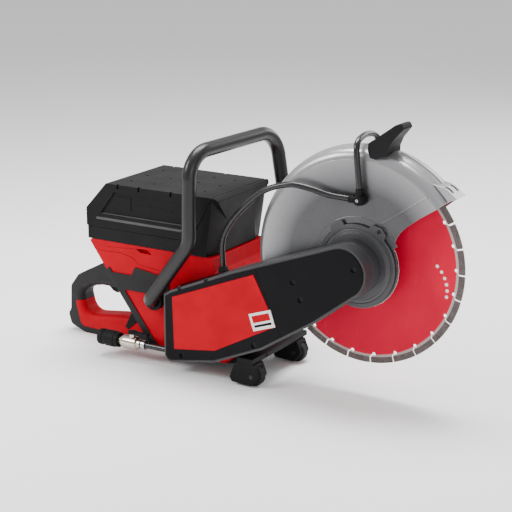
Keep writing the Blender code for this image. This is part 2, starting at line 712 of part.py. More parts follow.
def water_feed():
    """Tee on the guard's right wall, a hose over the rim, and a nozzle on the left wall."""
    tee = add_part("water_tee", rod(0.0085, -0.051, -GUARD_HALF_WIDTH - GAP, (TEE_X, 0, TEE_Z)), BLACK)
    join(tee, rod(0.005, -0.034, -0.020, (TEE_X, 0, TEE_Z), steps=16))
    join(tee, rod(PORT_RADIUS, 0.001, 0.018, (TEE_X, -0.0425, TEE_Z), "Z", 12))
    join(tee, rod(PORT_RADIUS, -0.018, -0.001, (TEE_X, -0.0425, TEE_Z), "X", 12))
    nozzle = add_part("water_nozzle_left", rod(
        0.0075, GUARD_HALF_WIDTH + GAP, 0.050, (TEE_X, 0, 0.150)), BLACK)
    join(nozzle, rod(PORT_RADIUS, 0, 0.012, (TEE_X, 0.0425, 0.150), "Z", 16))
    over = [
        (TEE_X, -0.0425, TEE_Z + 0.0190), (0.003, -0.0430, 0.158), (0.000, -0.0430, 0.190),
        (-0.003, -0.034, 0.2035), (-0.006, -0.012, 0.2085), (-0.008, 0.012, 0.2085),
        (-0.007, 0.034, 0.2035), (0.001, 0.0430, 0.188), (TEE_X, 0.0425, 0.1640),
    ]
    add_part("guard_hose", tube(smooth_path(over, 2), HOSE_RADIUS), RUBBER)
    supply = [
        (-0.245, -0.053, -0.0395), (-0.2475, -0.053, 0.004), (-0.240, -0.052, 0.030),
        (-0.222, -0.051, 0.057), (-0.190, -0.051, 0.089), (-0.160, -0.050, 0.111),
        (-0.119, -0.049, 0.1235), (-0.085, -0.047, 0.1215), (-0.048, -0.044, 0.114),
        (TEE_X - 0.0183, -0.0425, TEE_Z),
    ]
    add_part("supply_hose", tube(smooth_path(supply, 2), HOSE_RADIUS), RUBBER)


# ---- water inlet ----
def water_inlet():
    """Quick coupling, its sliding sleeve, the ball valve with its lever, and the tube to the arm."""
    line = (0, INLET_Y, INLET_Z)
    add_part("coupling_sleeve", turned([
        (0.0078, -0.4515), (0.0135, -0.4515), (0.0135, -0.458), (0.0148, -0.460), (0.0148, -0.478),
        (0.0130, -0.480), (0.0130, -0.484), (0.0145, -0.486), (0.0145, -0.493), (0.0078, -0.493),
    ], line, "X"), BLACK)
    body = add_part("valve_body", turned([
        (0.004, -0.405), (0.0085, -0.405), (0.0085, -0.411), (0.0120, -0.413), (0.0120, -0.438),
        (0.0100, -0.4455), (0.0075, -0.4455), (0.0075, -0.490), (0.004, -0.490)], line, "X"), NICKEL)
    join(body, rod(0.006, 0.009, 0.0165, (VALVE_X, INLET_Y, INLET_Z), "Z", 16))
    pivot = (VALVE_X, INLET_Y, INLET_Z)
    lever = add_part("valve_lever", rod(0.008, 0.0168, 0.0215, pivot, "Z"), BLACK, pivot)
    join(lever, box((VALVE_X - 0.004, INLET_Y - 0.005, INLET_Z + 0.0172),
                    (VALVE_X + 0.034, INLET_Y + 0.005, INLET_Z + 0.0208)))
    add_part("inlet_tube", rod(0.0055, -0.4047, -0.3435, line, "X"), RUBBER)
    add_part("hose_clamp", sleeve(0.0080, 0.0055 + GAP, -0.4030, -0.3950, line, "X", 16), STEEL)


# ---- running gear ----
def base_frame():
    web = fillet([
        (-0.380, -0.2044, 0), (-0.2345, -0.2044, 0), (-0.2035, -0.1775, 0),
        (-0.166, -0.1775, 0.002), (-0.166, -0.187, 0.002), (-0.205, -0.187, 0.004),
        (-0.235, -0.212, 0.004), (-0.380, -0.212, 0.003),
    ], steps=2)
    frame = add_part("base_frame", slab([web], ARM_INNER + 0.002, 0.098), BLACK)
    join(frame, box((-0.198, -0.087, -0.1870), (-0.167, 0.088, -0.1780)))


def wheels():
    bracket = fillet([
        (-0.202, -0.1873, 0.001), (-0.213, -0.215, 0.004), (-0.209, -0.2235, 0.003),
        (-0.170, -0.2255, 0.004), (-0.155, -0.209, 0.006), (-0.164, -0.1873, 0.001),
    ], steps=2)
    for side, y in WHEEL_SIDES.items():
        centre = (WHEEL_X, y, WHEEL_Z)
        part = add_part(f"wheel_bracket_{side}", slab([bracket], y - 0.015, y + 0.015), BLACK)
        cut(part, rod(WHEEL_RADIUS + 0.0015, -0.0082, 0.0082, centre, steps=24))
        cut(part, rod(0.0043, -0.03, 0.03, centre, steps=16))
        add_part(f"wheel_{side}", turned([
            (0.0043, 0.0075), (WHEEL_RADIUS - 0.002, 0.0075), (WHEEL_RADIUS, 0.0055),
            (WHEEL_RADIUS, -0.0055), (WHEEL_RADIUS - 0.002, -0.0075), (0.0043, -0.0075)],
            centre), RUBBER, centre)
        add_part(f"axle_{side}", rod(0.004, -0.0145, 0.0145, centre, steps=16), STEEL)


# ---- controls ----
def power_button():
    """A push button in the body's left side, behind the front housing."""
    place = (-0.284, BODY_LEFT + 0.005, -0.050)
    button = rod(0.007, -0.0045, 0.002, place)
    add_part("power_button", button, RED, place)


def build():
    body_shells()
    side_panels()
    battery_tray()
    front_housing()
    battery()
    front_handle()
    rear_handle()
    handle_panels()
    trigger()
    lock_off_lever()
    arm()
    pulleys_and_belt()
    motor()
    hub_and_spindle()
    blade()
    flanges()
    guard_shell()
    guard_deflector()
    guard_lever()
    water_feed()
    water_inlet()
    base_frame()
    wheels()
    power_button()


build()
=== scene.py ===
"""The looks of a battery rescue saw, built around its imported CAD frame.

Metres. Shapes are placed from the arbor (the blade's centre), as in the CAD model, and then
moved into the frame: +X towards the blade, +Y to the operator's left, +Z up.
"""

import json
from math import asin, atan2, cos, dist, pi, radians, sin, tan

import bmesh
import bpy
from mathutils import Matrix, Vector


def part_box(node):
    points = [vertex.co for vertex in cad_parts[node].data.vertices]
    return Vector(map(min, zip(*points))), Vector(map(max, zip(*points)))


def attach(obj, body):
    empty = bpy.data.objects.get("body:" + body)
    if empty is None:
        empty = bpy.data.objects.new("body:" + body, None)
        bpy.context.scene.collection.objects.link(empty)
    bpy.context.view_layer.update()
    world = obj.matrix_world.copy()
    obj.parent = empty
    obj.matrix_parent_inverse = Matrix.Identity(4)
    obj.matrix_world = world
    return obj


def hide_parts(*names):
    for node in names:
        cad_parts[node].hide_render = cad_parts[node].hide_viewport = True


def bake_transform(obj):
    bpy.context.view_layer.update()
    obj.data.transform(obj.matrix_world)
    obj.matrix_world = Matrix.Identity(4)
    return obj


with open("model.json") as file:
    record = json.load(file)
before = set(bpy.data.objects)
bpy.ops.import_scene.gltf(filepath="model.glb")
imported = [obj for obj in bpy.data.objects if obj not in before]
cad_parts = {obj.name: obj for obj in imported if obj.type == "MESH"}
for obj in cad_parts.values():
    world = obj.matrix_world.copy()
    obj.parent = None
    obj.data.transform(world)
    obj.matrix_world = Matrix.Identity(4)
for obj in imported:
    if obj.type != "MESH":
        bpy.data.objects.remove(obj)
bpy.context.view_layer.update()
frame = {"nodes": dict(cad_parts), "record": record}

# ---- driving dimensions, from the arbor ----
low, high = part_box("diamond_blade")
ARBOR = (low + high) / 2
BLADE_RADIUS = (high.z - low.z) / 2
GAP = 0.0003  # left between neighbouring pieces
CLEAR = 0.1  # how far a cutter reaches past everything

# blade
SEGMENTS = 25
SEGMENT_DEPTH = 0.01
SEGMENT_HALF = 0.0018
BLADE_CORE_HALF = 0.0013
GULLET_DEPTH = 0.015
GULLET_HOLE = 0.0033
GULLET_LEAN = 0.045
GULLET_HALF = 0.0016
BORE_RADIUS = 0.0127
DOTS = 6
DOT_RADIUS = 0.0028

# guard and the hub beside it
GUARD_RADIUS = 0.195
GUARD_CROWN = 0.0035
GUARD_WALL = 0.0025
GUARD_HALF_WIDTH = 0.033
GUARD_SHOULDER = 0.016
GUARD_FRONT = radians(39)
GUARD_REAR = radians(206)
GUARD_HOLE = 0.0662
GUARD_FAR_HOLE = 0.12
COLLAR_RADIUS = 0.0722
LEVER_GAP = 0.0004
HUB_BORE = 0.0268
HUB_FACE = (-0.0392, -0.0339)

# arm, right to left
ARM_OUTER = -0.094
ARM_SPLIT = -0.064
ARM_INNER = -0.042
FACE_STEP = 0.0024
FLANK_WALL = 0.004
FLANK_DEPTH = 0.01
SCREW_WELL = 0.0046
SCREW_HEAD = 0.0036

# body, battery and handles
BODY_RIGHT, BODY_LEFT = -0.062, 0.11
BODY_MIDDLE = 0.024
BATTERY_RIGHT, BATTERY_LEFT = -0.064, 0.112
BATTERY_TOP = 0.085
TRAY_Z = -0.0205
TUBE_RADIUS = 0.0125
FOOT_RIGHT = (-0.378, -0.11)
FOOT_LEFT = (-0.236, -0.11)
FOOT_BEND = 0.017
HANDLE_HALF = 0.022
GRIP_ROUND = 0.0125
PANEL_PROUD = 0.0016
CHEVRON_PROUD = 0.0026
TRIGGER_PIVOT = (-0.512, -0.116)

# water fittings
TEE_X, TEE_Z = 0.006, 0.112
HOSE_RIGHT = -0.0425
HOSE_RADIUS = 0.005

# meshes
SMOOTH_ANGLE = radians(32)
HOSE_SMOOTH_ANGLE = radians(50)
BEVEL_ANGLE = radians(40)
FLAT_ANGLE = radians(0.5)
WELD_DISTANCE = 0.00001
NODE_BODY = {
    node: body for body, nodes in frame["record"]["behaviour"]["bodies"].items() for node in nodes
}


# ---- camera, floor and lights ----
EYE = Vector((1.0709, -2.1032, 0.6739))
LOOK = Vector((-0.5013, 0.8213, -0.2723))
LENS = 104.9
LAMPS_AIM = (0.0, 0.0, 0.2)
FLOOR_HALF = 12
FLOOR_CLEARANCE = 0.0005


def camera():
    data = bpy.data.cameras.new("camera")
    data.lens = LENS
    data.sensor_width = 36
    data.clip_start = 0.05
    data.clip_end = 50
    eye = bpy.data.objects.new("camera", data)
    eye.location = ARBOR + EYE
    eye.rotation_euler = LOOK.to_track_quat("-Z", "Y").to_euler()
    bpy.context.scene.collection.objects.link(eye)
    bpy.context.scene.camera = eye


def area_light(name, place, size, power):
    data = bpy.data.lights.new(name, "AREA")
    data.shape = "RECTANGLE"
    data.size, data.size_y = size
    data.energy = power
    lamp = bpy.data.objects.new(name, data)
    lamp.location = place
    lamp.rotation_euler = (Vector(LAMPS_AIM) - lamp.location).to_track_quat("-Z", "Y").to_euler()
    bpy.context.scene.collection.objects.link(lamp)


def studio():
    """A white floor under a large top softbox, a key from the camera's left and a low fill."""
    world = bpy.data.worlds.new("studio")
    bpy.context.scene.world = world
    world.use_nodes = True
    background = world.node_tree.nodes["Background"]
    background.inputs["Color"].default_value = (1.0, 1.0, 1.0, 1.0)
    background.inputs["Strength"].default_value = 0.78
    area_light("top_softbox", (-0.2, 0.3, 1.9), (1.4, 0.8), 70)
    area_light("key", (-1.6, -1.5, 1.6), (0.7, 0.9), 40)
    area_light("fill", (2.0, -1.4, 0.8), (1.0, 1.2), 11)
    area_light("rim", (0.6, 2.2, 1.2), (1.6, 1.0), 20)

    shape = bmesh.new()
    bmesh.ops.create_grid(shape, x_segments=1, y_segments=1, size=FLOOR_HALF)
    mesh = bpy.data.meshes.new("floor")
    shape.to_mesh(mesh)
    shape.free()
    floor = bpy.data.objects.new("floor", mesh)
    floor.location = (0, 0, -FLOOR_CLEARANCE)
    bpy.context.scene.collection.objects.link(floor)
    material = bpy.data.materials.new("floor_paper")
    material.use_nodes = True
    shader = material.node_tree.nodes["Principled BSDF"]
    shader.inputs["Base Color"].default_value = (0.93, 0.93, 0.93, 1)
    shader.inputs["Roughness"].default_value = 0.9
    mesh.materials.append(material)


# ---- materials ----
class Surface:
    """A material whose colour, roughness and relief are built up node by node."""

    def __init__(self, name, colour, roughness, metallic=0.0, specular=0.5):
        self.material = bpy.data.materials.new(name)
        self.material.use_nodes = True
        self.tree = self.material.node_tree
        self.shader = self.tree.nodes["Principled BSDF"]
        self.shader.inputs["Metallic"].default_value = metallic
        self.shader.inputs["Specular IOR Level"].default_value = specular
        place = self.tree.nodes.new("ShaderNodeTexCoord").outputs["Object"]
        centred = self.add("ShaderNodeVectorMath", {0: place, 1: ARBOR}, operation="SUBTRACT")
        self.place = centred.outputs[0]
        self.colour = (*colour, 1.0)
        self.roughness = roughness
        self.bump = None

    def add(self, kind, inputs=(), **settings):
        """A node with its settings made and its inputs fed."""
        node = self.tree.nodes.new(kind)
        for name, value in settings.items():
            setattr(node, name, value)
        for socket, value in dict(inputs).items():
            self.link(value, node.inputs[socket])
        return node

    def link(self, value, socket):
        """Feed a socket from another socket, or from a plain value."""
        if isinstance(value, bpy.types.NodeSocket):
            self.tree.links.new(value, socket)
        else:
            socket.default_value = value

    def noise(self, scale, detail=2.0, stretch=(1, 1, 1)):
        mapping = self.add("ShaderNodeMapping", {"Vector": self.place, "Scale": stretch})
        noise = self.add("ShaderNodeTexNoise", {
            "Vector": mapping.outputs["Vector"], "Scale": scale, "Detail": detail})
        return noise.outputs["Fac"]

    def ramp(self, value, low, high, start=0.0, end=1.0):
        """The value's range low..high spread over start..end, and clamped."""
        node = self.add("ShaderNodeMapRange", {
            "Value": value, "From Min": low, "From Max": high, "To Min": start, "To Max": end})
        return node.outputs["Result"]

    def math(self, operation, a, b=0.0):
        return self.add("ShaderNodeMath", {0: a, 1: b}, operation=operation).outputs[0]

    def tint(self, share, colour, blend="MIX"):
        """Let another colour in by a share."""
        node = self.add(
            "ShaderNodeMix", {"Factor": share, 6: self.colour, 7: (*colour, 1.0)},
            data_type="RGBA", blend_type=blend)
        self.colour = node.outputs[2]

    def mottle(self, scale, spread, shade=0.75):
        """Slow variation of colour and roughness over the surface."""
        cloud = self.noise(scale, 4.0)
        self.tint(self.ramp(cloud, 0.38, 0.68), (shade, shade, shade), "MULTIPLY")
        fine = self.noise(scale * 9, 3.0)
        both = self.math("ADD", self.math("MULTIPLY", cloud, 0.6), self.math("MULTIPLY", fine, 0.4))
        self.roughness = self.ramp(both, 0.3, 0.7, self.roughness - spread, self.roughness + spread)

    def relief(self, height, depth, strength=1.0):
        """A bump layer of the given depth in metres, on top of those before it."""
        inputs = {"Strength": strength, "Distance": depth, "Height": height}
        if self.bump is not None:
            inputs["Normal"] = self.bump
        self.bump = self.add("ShaderNodeBump", inputs).outputs["Normal"]

    def edges(self, radius, threshold=0.02, full=0.16):
        """How near a point is to a sharp edge, broken up into patches: used as rubbed wear, and on the
        plastics also as a painted highlight on the edges.
        """
        bevel = self.add("ShaderNodeBevel", {"Radius": radius}, samples=4)
        normal = self.add("ShaderNodeNewGeometry").outputs["Normal"]
        product = self.add(
            "ShaderNodeVectorMath", {0: bevel.outputs["Normal"], 1: normal}, operation="DOT_PRODUCT")
        away = self.math("SUBTRACT", 1.0, product.outputs["Value"])
        near = self.ramp(away, threshold, full)
        patchy = self.ramp(self.noise(160, 4.0), 0.35, 0.62)
        return self.math("MULTIPLY", near, patchy)

    def radius(self):
        """Distance from the arbor's axis, in metres."""
        split = self.add("ShaderNodeSeparateXYZ", {0: self.place})
        x, z = split.outputs["X"], split.outputs["Z"]
        total = self.math("ADD", self.math("MULTIPLY", x, x), self.math("MULTIPLY", z, z))
        return self.math("SQRT", total)

    def done(self):
        self.link(self.colour, self.shader.inputs["Base Color"])
        self.link(self.roughness, self.shader.inputs["Roughness"])
        if self.bump is not None:
            self.link(self.bump, self.shader.inputs["Normal"])
        return self.material


def plastic(name, colour, roughness, grain, depth, edge_tint=None, edge_share=0.5, specular=0.25):
    """Moulded plastic: fine spark-eroded grain, slow mottling, and edges painted paler, partly as rubbed
    wear and partly as a painted highlight.
    """
    surface = Surface(name, colour, roughness, 0.0, specular)
    surface.mottle(26, 0.06, 0.86)
    if edge_tint is not None:
        # paler edges: partly rubbed wear, partly a painted highlight along the edges
        surface.tint(surface.math("MULTIPLY", surface.edges(0.0012), edge_share), edge_tint)
    surface.relief(surface.noise(grain, 3.0), depth)
    surface.relief(surface.noise(grain / 9, 2.0), depth * 1.5, 0.35)
    return surface.done()


def painted_metal(name, colour, roughness, metallic, edge_tint, edge_share=0.55):
    """A powder or lacquer coat on metal: orange peel, rubbed through on the edges."""
    surface = Surface(name, colour, roughness, metallic)
    surface.mottle(18, 0.07, 0.85)
    surface.tint(surface.math("MULTIPLY", surface.edges(0.0014), edge_share), edge_tint)
    surface.relief(surface.noise(620, 2.0), 0.00002)
    surface.relief(surface.noise(70, 3.0), 0.0001, 0.2)
    return surface.done()


def bare_metal(name, colour, roughness, stretch=(1, 1, 1), scale=900, depth=0.00003):
    """Machined or plated metal with fine tool marks and handling smears."""
    surface = Surface(name, colour, roughness, 1.0)
    surface.mottle(40, 0.07, 0.8)
    surface.relief(surface.noise(scale, 3.0, stretch), depth)
    return surface.done()


def blade_paint():
    """Red lacquer on a steel core: turned rings, scuffs, and the bare band at the rim."""
    surface = Surface("blade_paint", (0.62, 0.002, 0.035), 0.42, 0.0, 0.08)
    surface.mottle(14, 0.05, 0.88)
    radius = surface.radius()
    rings = surface.add("ShaderNodeTexNoise", {"W": radius, "Scale": 900}, noise_dimensions="1D")
    scuffs = surface.ramp(surface.noise(110, 6.0, (1, 1, 0.25)), 0.62, 0.78, 0.0, 0.22)
    surface.tint(scuffs, (0.7, 0.1, 0.14))
    steel_band = surface.ramp(radius, 0.16, 0.1606)
    surface.tint(steel_band, (0.42, 0.34, 0.33))
    surface.relief(rings.outputs["Fac"], 0.00003)
    return surface.done()


def diamond_grit():
    """Sintered segments: a dark bronze matrix full of grit, ground paler in streaks."""
    surface = Surface("diamond_segment", (0.085, 0.062, 0.06), 0.5, 0.4)
    surface.mottle(60, 0.1, 0.7)
    grit = surface.noise(1500, 4.0)
    surface.tint(surface.ramp(grit, 0.56, 0.66, 0.0, 0.6), (0.42, 0.38, 0.37))
    surface.relief(grit, 0.00016)
    return surface.done()


def guard_coat():
    """Satin silver coating on the pressed guard: painted shade on the wall and a painted highlight towards
    the shoulder and rim, fine sparkle, faint press waves, scuffs.
    """
    surface = Surface("guard_metal", (0.075, 0.075, 0.079), 0.32, 0.7)
    surface.mottle(9, 0.05, 0.88)
    # painted shade and highlight: darker on the wall, paler towards the shoulder and rim, by distance from
    # the arbor
    surface.tint(surface.ramp(surface.radius(), 0.125, 0.19), (0.36, 0.36, 0.37))
    flake = surface.noise(1900, 2.0)
    surface.tint(surface.ramp(flake, 0.55, 0.7, 0.0, 0.25), (0.4, 0.4, 0.41))
    scuffs = surface.ramp(surface.noise(38, 9.0, (1, 1, 3)), 0.64, 0.74, 0.0, 0.25)
    surface.tint(surface.math("MULTIPLY", scuffs, 0.6), (0.1, 0.1, 0.105))
    surface.tint(surface.math("MULTIPLY", surface.edges(0.0015), 0.4), (0.55, 0.55, 0.56))
    surface.relief(flake, 0.00003)
    surface.relief(surface.noise(7, 1.0), 0.0008, 0.25)
    return surface.done()


def woven_rubber():
    """Hose rubber with a fine wrap texture and a dull sheen."""
    surface = Surface("hose_rubber", (0.008, 0.008, 0.009), 0.26, 0.0, 0.45)
    surface.mottle(50, 0.05, 0.85)
    surface.relief(surface.noise(700, 2.0), 0.00004)
    return surface.done()


def make_materials():
    # pale edge tint of the black and grey plastics: partly wear, partly a painted highlight along their
    # edges
    edge_wear_and_highlight = (0.1, 0.1, 0.1)
    return {
        "red": plastic(
            "red_plastic", (0.43, 0.0, 0.01), 0.44, 1500, 0.00003, (0.5, 0.01, 0.03), 0.3, 0.05),
        "black": plastic("black_plastic", (0.008, 0.008, 0.0088), 0.52, 1100, 0.00006, edge_wear_and_highlight, 0.3, 0.1),
        "grey": plastic("dark_grey_plastic", (0.015, 0.0145, 0.015), 0.54, 1100, 0.00009, edge_wear_and_highlight, 0.3, 0.16),
        # painted highlight: the ledges are the pack's black plastic, painted paler for the light they
        # catch from above
        "ledge": plastic("ledge_painted_highlight", (0.06, 0.06, 0.062), 0.5, 1300, 0.00006),
        "overmould": plastic("soft_grip", (0.01, 0.01, 0.011), 0.58, 700, 0.00014),
        "cover": plastic("smooth_black_cover", (0.004, 0.004, 0.005), 0.38, 1600, 0.00002, specular=0.08),
        "flank": plastic("arm_flank", (0.034, 0.034, 0.037), 0.4, 1400, 0.00003, specular=0.4),
        "tube": plastic("coated_tube", (0.0055, 0.0055, 0.006), 0.34, 1500, 0.000008, specular=0.42),
        "cast": painted_metal("dark_casting", (0.05, 0.05, 0.054), 0.38, 0.3, (0.2, 0.2, 0.21), 0.2),
        "silver": guard_coat(),
        "steel": bare_metal("steel", (0.56, 0.56, 0.57), 0.26, (1, 1, 1)),
        "dark_steel": bare_metal("black_oxide_steel", (0.05, 0.05, 0.055), 0.34),
        "nickel": bare_metal("satin_nickel", (0.6, 0.53, 0.45), 0.22),
        "copper": bare_metal("copper_winding", (0.6, 0.28, 0.12), 0.35, (1, 8, 1), 500, 0.0003),
        "blade": blade_paint(),
        "segment": diamond_grit(),
        "rubber": plastic("tyre_rubber", (0.01, 0.01, 0.01), 0.7, 500, 0.00018),
        "hose": woven_rubber(),
        "mark": plastic("white_mark", (0.8, 0.8, 0.78), 0.5, 1500, 0.00003),
    }


# ---- outlines ----
def fillet(corners, closed=True, steps=6):
    """Points along straight runs whose corners (coordinates..., radius) become arcs."""
    points = []
    last = len(corners) - 1
    for number, corner in enumerate(corners):
        here, radius = Vector(corner[:-1]), corner[-1]
        if radius == 0 or (not closed and number in (0, last)):
            points.append(tuple(here))
            continue
        before = (Vector(corners[number - 1][:-1]) - here).normalized()
        after = (Vector(corners[(number + 1) % len(corners)][:-1]) - here).normalized()
        half = before.angle(after) / 2
        setback = radius / tan(half)
        centre = here + (before + after).normalized() * radius / sin(half)
        start = here + before * setback - centre
        end = here + after * setback - centre
        sweep = pi - 2 * half
        for step in range(steps + 1):
            share = step / steps
            a = sin((1 - share) * sweep) / sin(sweep)
            b = sin(share * sweep) / sin(sweep)
            points.append(tuple(centre + start * a + end * b))
    return points


def arc(radius, start, end, steps, centre=(0, 0)):
    """Points on an arc, angles in radians from +X towards +Z."""
    return [
        (
            centre[0] + radius * cos(start + (end - start) * step / steps),
            centre[1] + radius * sin(start + (end - start) * step / steps),
        )
        for step in range(steps + 1)
    ]


def inset(outline, distance):
    """A closed outline moved inwards by a distance, or outwards by a negative one."""
    area = sum(
        a[0] * b[1] - b[0] * a[1] for a, b in zip(outline, outline[1:] + outline[:1])
    )
    side = 1 if area > 0 else -1
    moved = []
    for number, corner in enumerate(outline):
        here = Vector(corner)
        into = (here - Vector(outline[number - 1])).normalized()
        out = (Vector(outline[(number + 1) % len(outline)]) - here).normalized()
        normal_in = Vector((-into.y, into.x)) * side
        normal_out = Vector((-out.y, out.x)) * side
        middle = (normal_in + normal_out).normalized()
        moved.append(tuple(here + middle * distance / middle.dot(normal_in)))
    return moved


def smooth_path(knots, steps):
    """Points on a Catmull-Rom curve through the knots."""
    path = [Vector(knot) for knot in knots]
    padded = [2 * path[0] - path[1], *path, 2 * path[-1] - path[-2]]
    points = []
    for a, b, c, d in zip(padded, padded[1:], padded[2:], padded[3:]):
        for step in range(steps):
            t = step / steps
            points.append(
                0.5 * (2 * b + (c - a) * t + (2 * a - 5 * b + 4 * c - d) * t**2
                       + (3 * b - a - 3 * c + d) * t**3)
            )
    return [tuple(point) for point in points] + [tuple(path[-1])]


# ---- meshes, all in arbor coordinates ----
def as_mesh(shape):
    """The mesh of a bmesh, with its faces turned outwards; the bmesh is freed."""
    bmesh.ops.recalc_face_normals(shape, faces=shape.faces)
    mesh = bpy.data.meshes.new("shape")
    shape.to_mesh(mesh)
    shape.free()
    return mesh


def lofted(rings):
    """A solid through rings of as many points each, closed by its first and last ring."""
    shape = bmesh.new()
    loops = [[shape.verts.new(point) for point in ring] for ring in rings]
    for a, b in zip(loops, loops[1:]):
        for n in range(len(a)):
            m = (n + 1) % len(a)
            shape.faces.new((a[n], a[m], b[m], b[n]))
    shape.faces.new(loops[0])
    shape.faces.new(loops[-1])
    return as_mesh(shape)


def from_curve(curve, matrix):
    """The welded mesh of a curve with filled ends."""
    guide = bpy.data.objects.new("guide", curve)
    bpy.context.scene.collection.objects.link(guide)
    bpy.context.view_layer.update()
    evaluated = guide.evaluated_get(bpy.context.evaluated_depsgraph_get())
    mesh = bpy.data.meshes.new_from_object(evaluated)
    mesh.transform(matrix)
    bpy.data.objects.remove(guide)
    bpy.data.curves.remove(curve)
    weld(mesh)
    return mesh


def weld(mesh):
    """Join doubled corners and dissolve the edges inside flat faces."""
    shape = bmesh.new()
    shape.from_mesh(mesh)
    bmesh.ops.remove_doubles(shape, verts=shape.verts, dist=WELD_DISTANCE)
    bmesh.ops.dissolve_limit(
        shape, angle_limit=FLAT_ANGLE, verts=shape.verts, edges=shape.edges,
        delimit={"MATERIAL"})
    bmesh.ops.recalc_face_normals(shape, faces=shape.faces)
    shape.to_mesh(mesh)
    shape.free()


def depths(y, side, outwards, inwards):
    """The Y range from outside to inside a face whose outward side is -1 or 1."""
    return sorted((y + side * outwards, y - side * inwards))


def slab(rings, low_y, high_y):
    """Flat X-Z outlines extruded along Y. An outline inside another is a hole."""
    curve = bpy.data.curves.new("outline", "CURVE")
    curve.dimensions = "2D"
    curve.fill_mode = "BOTH"
    curve.extrude = (high_y - low_y) / 2
    for ring in rings:
        spline = curve.splines.new("POLY")
        spline.points.add(len(ring) - 1)
        spline.use_cyclic_u = True
        for point, (x, z) in zip(spline.points, ring):
            point.co = (x, z, 0, 1)
    turn = Matrix.Rotation(pi / 2, 4, "X")
    return from_curve(curve, Matrix.Translation((0, (low_y + high_y) / 2, 0)) @ turn)


def tube(points, radius, resolution=6):
    """A round tube along a path, with filled ends."""
    curve = bpy.data.curves.new("path", "CURVE")
    curve.dimensions = "3D"
    curve.bevel_depth = radius
    curve.bevel_resolution = resolution
    curve.use_fill_caps = True
    spline = curve.splines.new("POLY")
    spline.points.add(len(points) - 1)
    for point, place in zip(spline.points, points):
        point.co = (*place, 1)
    return from_curve(curve, Matrix())


AXES = {
    "Y": Matrix.Rotation(-pi / 2, 4, "X"),
    "X": Matrix.Rotation(pi / 2, 4, "Y"),
    "Z": Matrix(),
}


def turned(profile, centre=(0, 0, 0), axis="Y", steps=64):
    """A (radius, height) profile turned about an axis; height runs along the axis.

    The profile is closed unless it starts and ends on the axis.
    """
    shape = bmesh.new()
    closed = min(radius for radius, _ in profile) > 0
    rings = []
    for radius, height in profile:
        if radius == 0:
            rings.append([shape.verts.new((0, 0, height))])
            continue
        rings.append([
            shape.verts.new((
                radius * cos(2 * pi * n / steps),
                radius * sin(2 * pi * n / steps), height))
            for n in range(steps)
        ])
    pairs = list(zip(rings, rings[1:] + rings[:1])) if closed else list(zip(rings, rings[1:]))
    for a, b in pairs:
        for n in range(steps):
            m = (n + 1) % steps
            corners = [a[n % len(a)], a[m % len(a)], b[m % len(b)], b[n % len(b)]]
            shape.faces.new(list(dict.fromkeys(corners)))
    mesh = as_mesh(shape)
    mesh.transform(Matrix.Translation(centre) @ AXES[axis])
    return mesh


def rod(radius, low, high, centre=(0, 0, 0), axis="Y", steps=48):
    """A plain cylinder from low to high along its axis."""
    return turned([(0, high), (radius, high), (radius, low), (0, low)], centre, axis, steps)


def block(low, high):
    """A box between two opposite corners."""
    shape = bmesh.new()
    bmesh.ops.create_cube(shape, size=1)
    size = [b - a for a, b in zip(low, high)]
    middle = [(a + b) / 2 for a, b in zip(low, high)]
    bmesh.ops.scale(shape, vec=size, verts=shape.verts)
    bmesh.ops.translate(shape, vec=middle, verts=shape.verts)
    return as_mesh(shape)


def hull(points):
    """The convex solid around a few points."""
    shape = bmesh.new()
    for point in points:
        shape.verts.new(point)
    made = bmesh.ops.convex_hull(shape, input=shape.verts)
    bmesh.ops.delete(shape, geom=made["geom_interior"], context="VERTS")
    return as_mesh(shape)


def merged(*meshes):
    """Several meshes as one, side by side."""
    shape = bmesh.new()
    for mesh in meshes:
        shape.from_mesh(mesh)
    return as_mesh(shape)


def placed(name, mesh, in_frame=False):
    """An object of the mesh, moved from the arbor into the frame."""
    if not in_frame:
        mesh.transform(Matrix.Translation(ARBOR))
    mesh.name = name
    piece = bpy.data.objects.new(name, mesh)
    bpy.context.scene.collection.objects.link(piece)
    return piece


def boolean(piece, cutters, operation="DIFFERENCE"):
    """Cut the piece by closed meshes in arbor coordinates, and keep the result as its mesh."""
    tools = []
    for number, mesh in enumerate(cutters):
        tool = placed(f"{piece.name}_tool_{number}", mesh)
        modifier = piece.modifiers.new("cut", "BOOLEAN")
        modifier.operation = operation
        modifier.object = tool
        tools.append(tool)
    bpy.context.view_layer.update()
    evaluated = piece.evaluated_get(bpy.context.evaluated_depsgraph_get())
    result = bpy.data.meshes.new_from_object(evaluated)
    result.name = piece.name
    piece.modifiers.clear()
    piece.data = result
    for tool in tools:
        bpy.data.objects.remove(tool)
    weld(result)


def soften(piece, width, segments):
    """Round the sharp edges and keep the flats flat in the shading."""
    mesh = piece.data
    mesh.shade_smooth()
    mesh.set_sharp_from_angle(angle=SMOOTH_ANGLE)
    if width:
        modifier = piece.modifiers.new("edges", "BEVEL")
        modifier.width = width
        modifier.segments = segments
        modifier.limit_method = "ANGLE"
        modifier.angle_limit = BEVEL_ANGLE
        modifier.use_clamp_overlap = True
    weighted = piece.modifiers.new("shading", "WEIGHTED_NORMAL")
    weighted.keep_sharp = True


def finish(
        name, mesh, material, body, width=0.0008, replaces=(), cuts=(), segments=3, within=()):
    """Place a mesh, cut it, round its edges, give it its material, and let it ride a body."""
    piece = placed(name, mesh)
    if within:
        boolean(piece, within, "INTERSECT")
    if cuts:
        boolean(piece, cuts)
    piece.data.materials.clear()
    piece.data.materials.append(MATERIALS[material])
    soften(piece, width, segments)
    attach(piece, body)
    if replaces:
        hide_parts(*replaces)


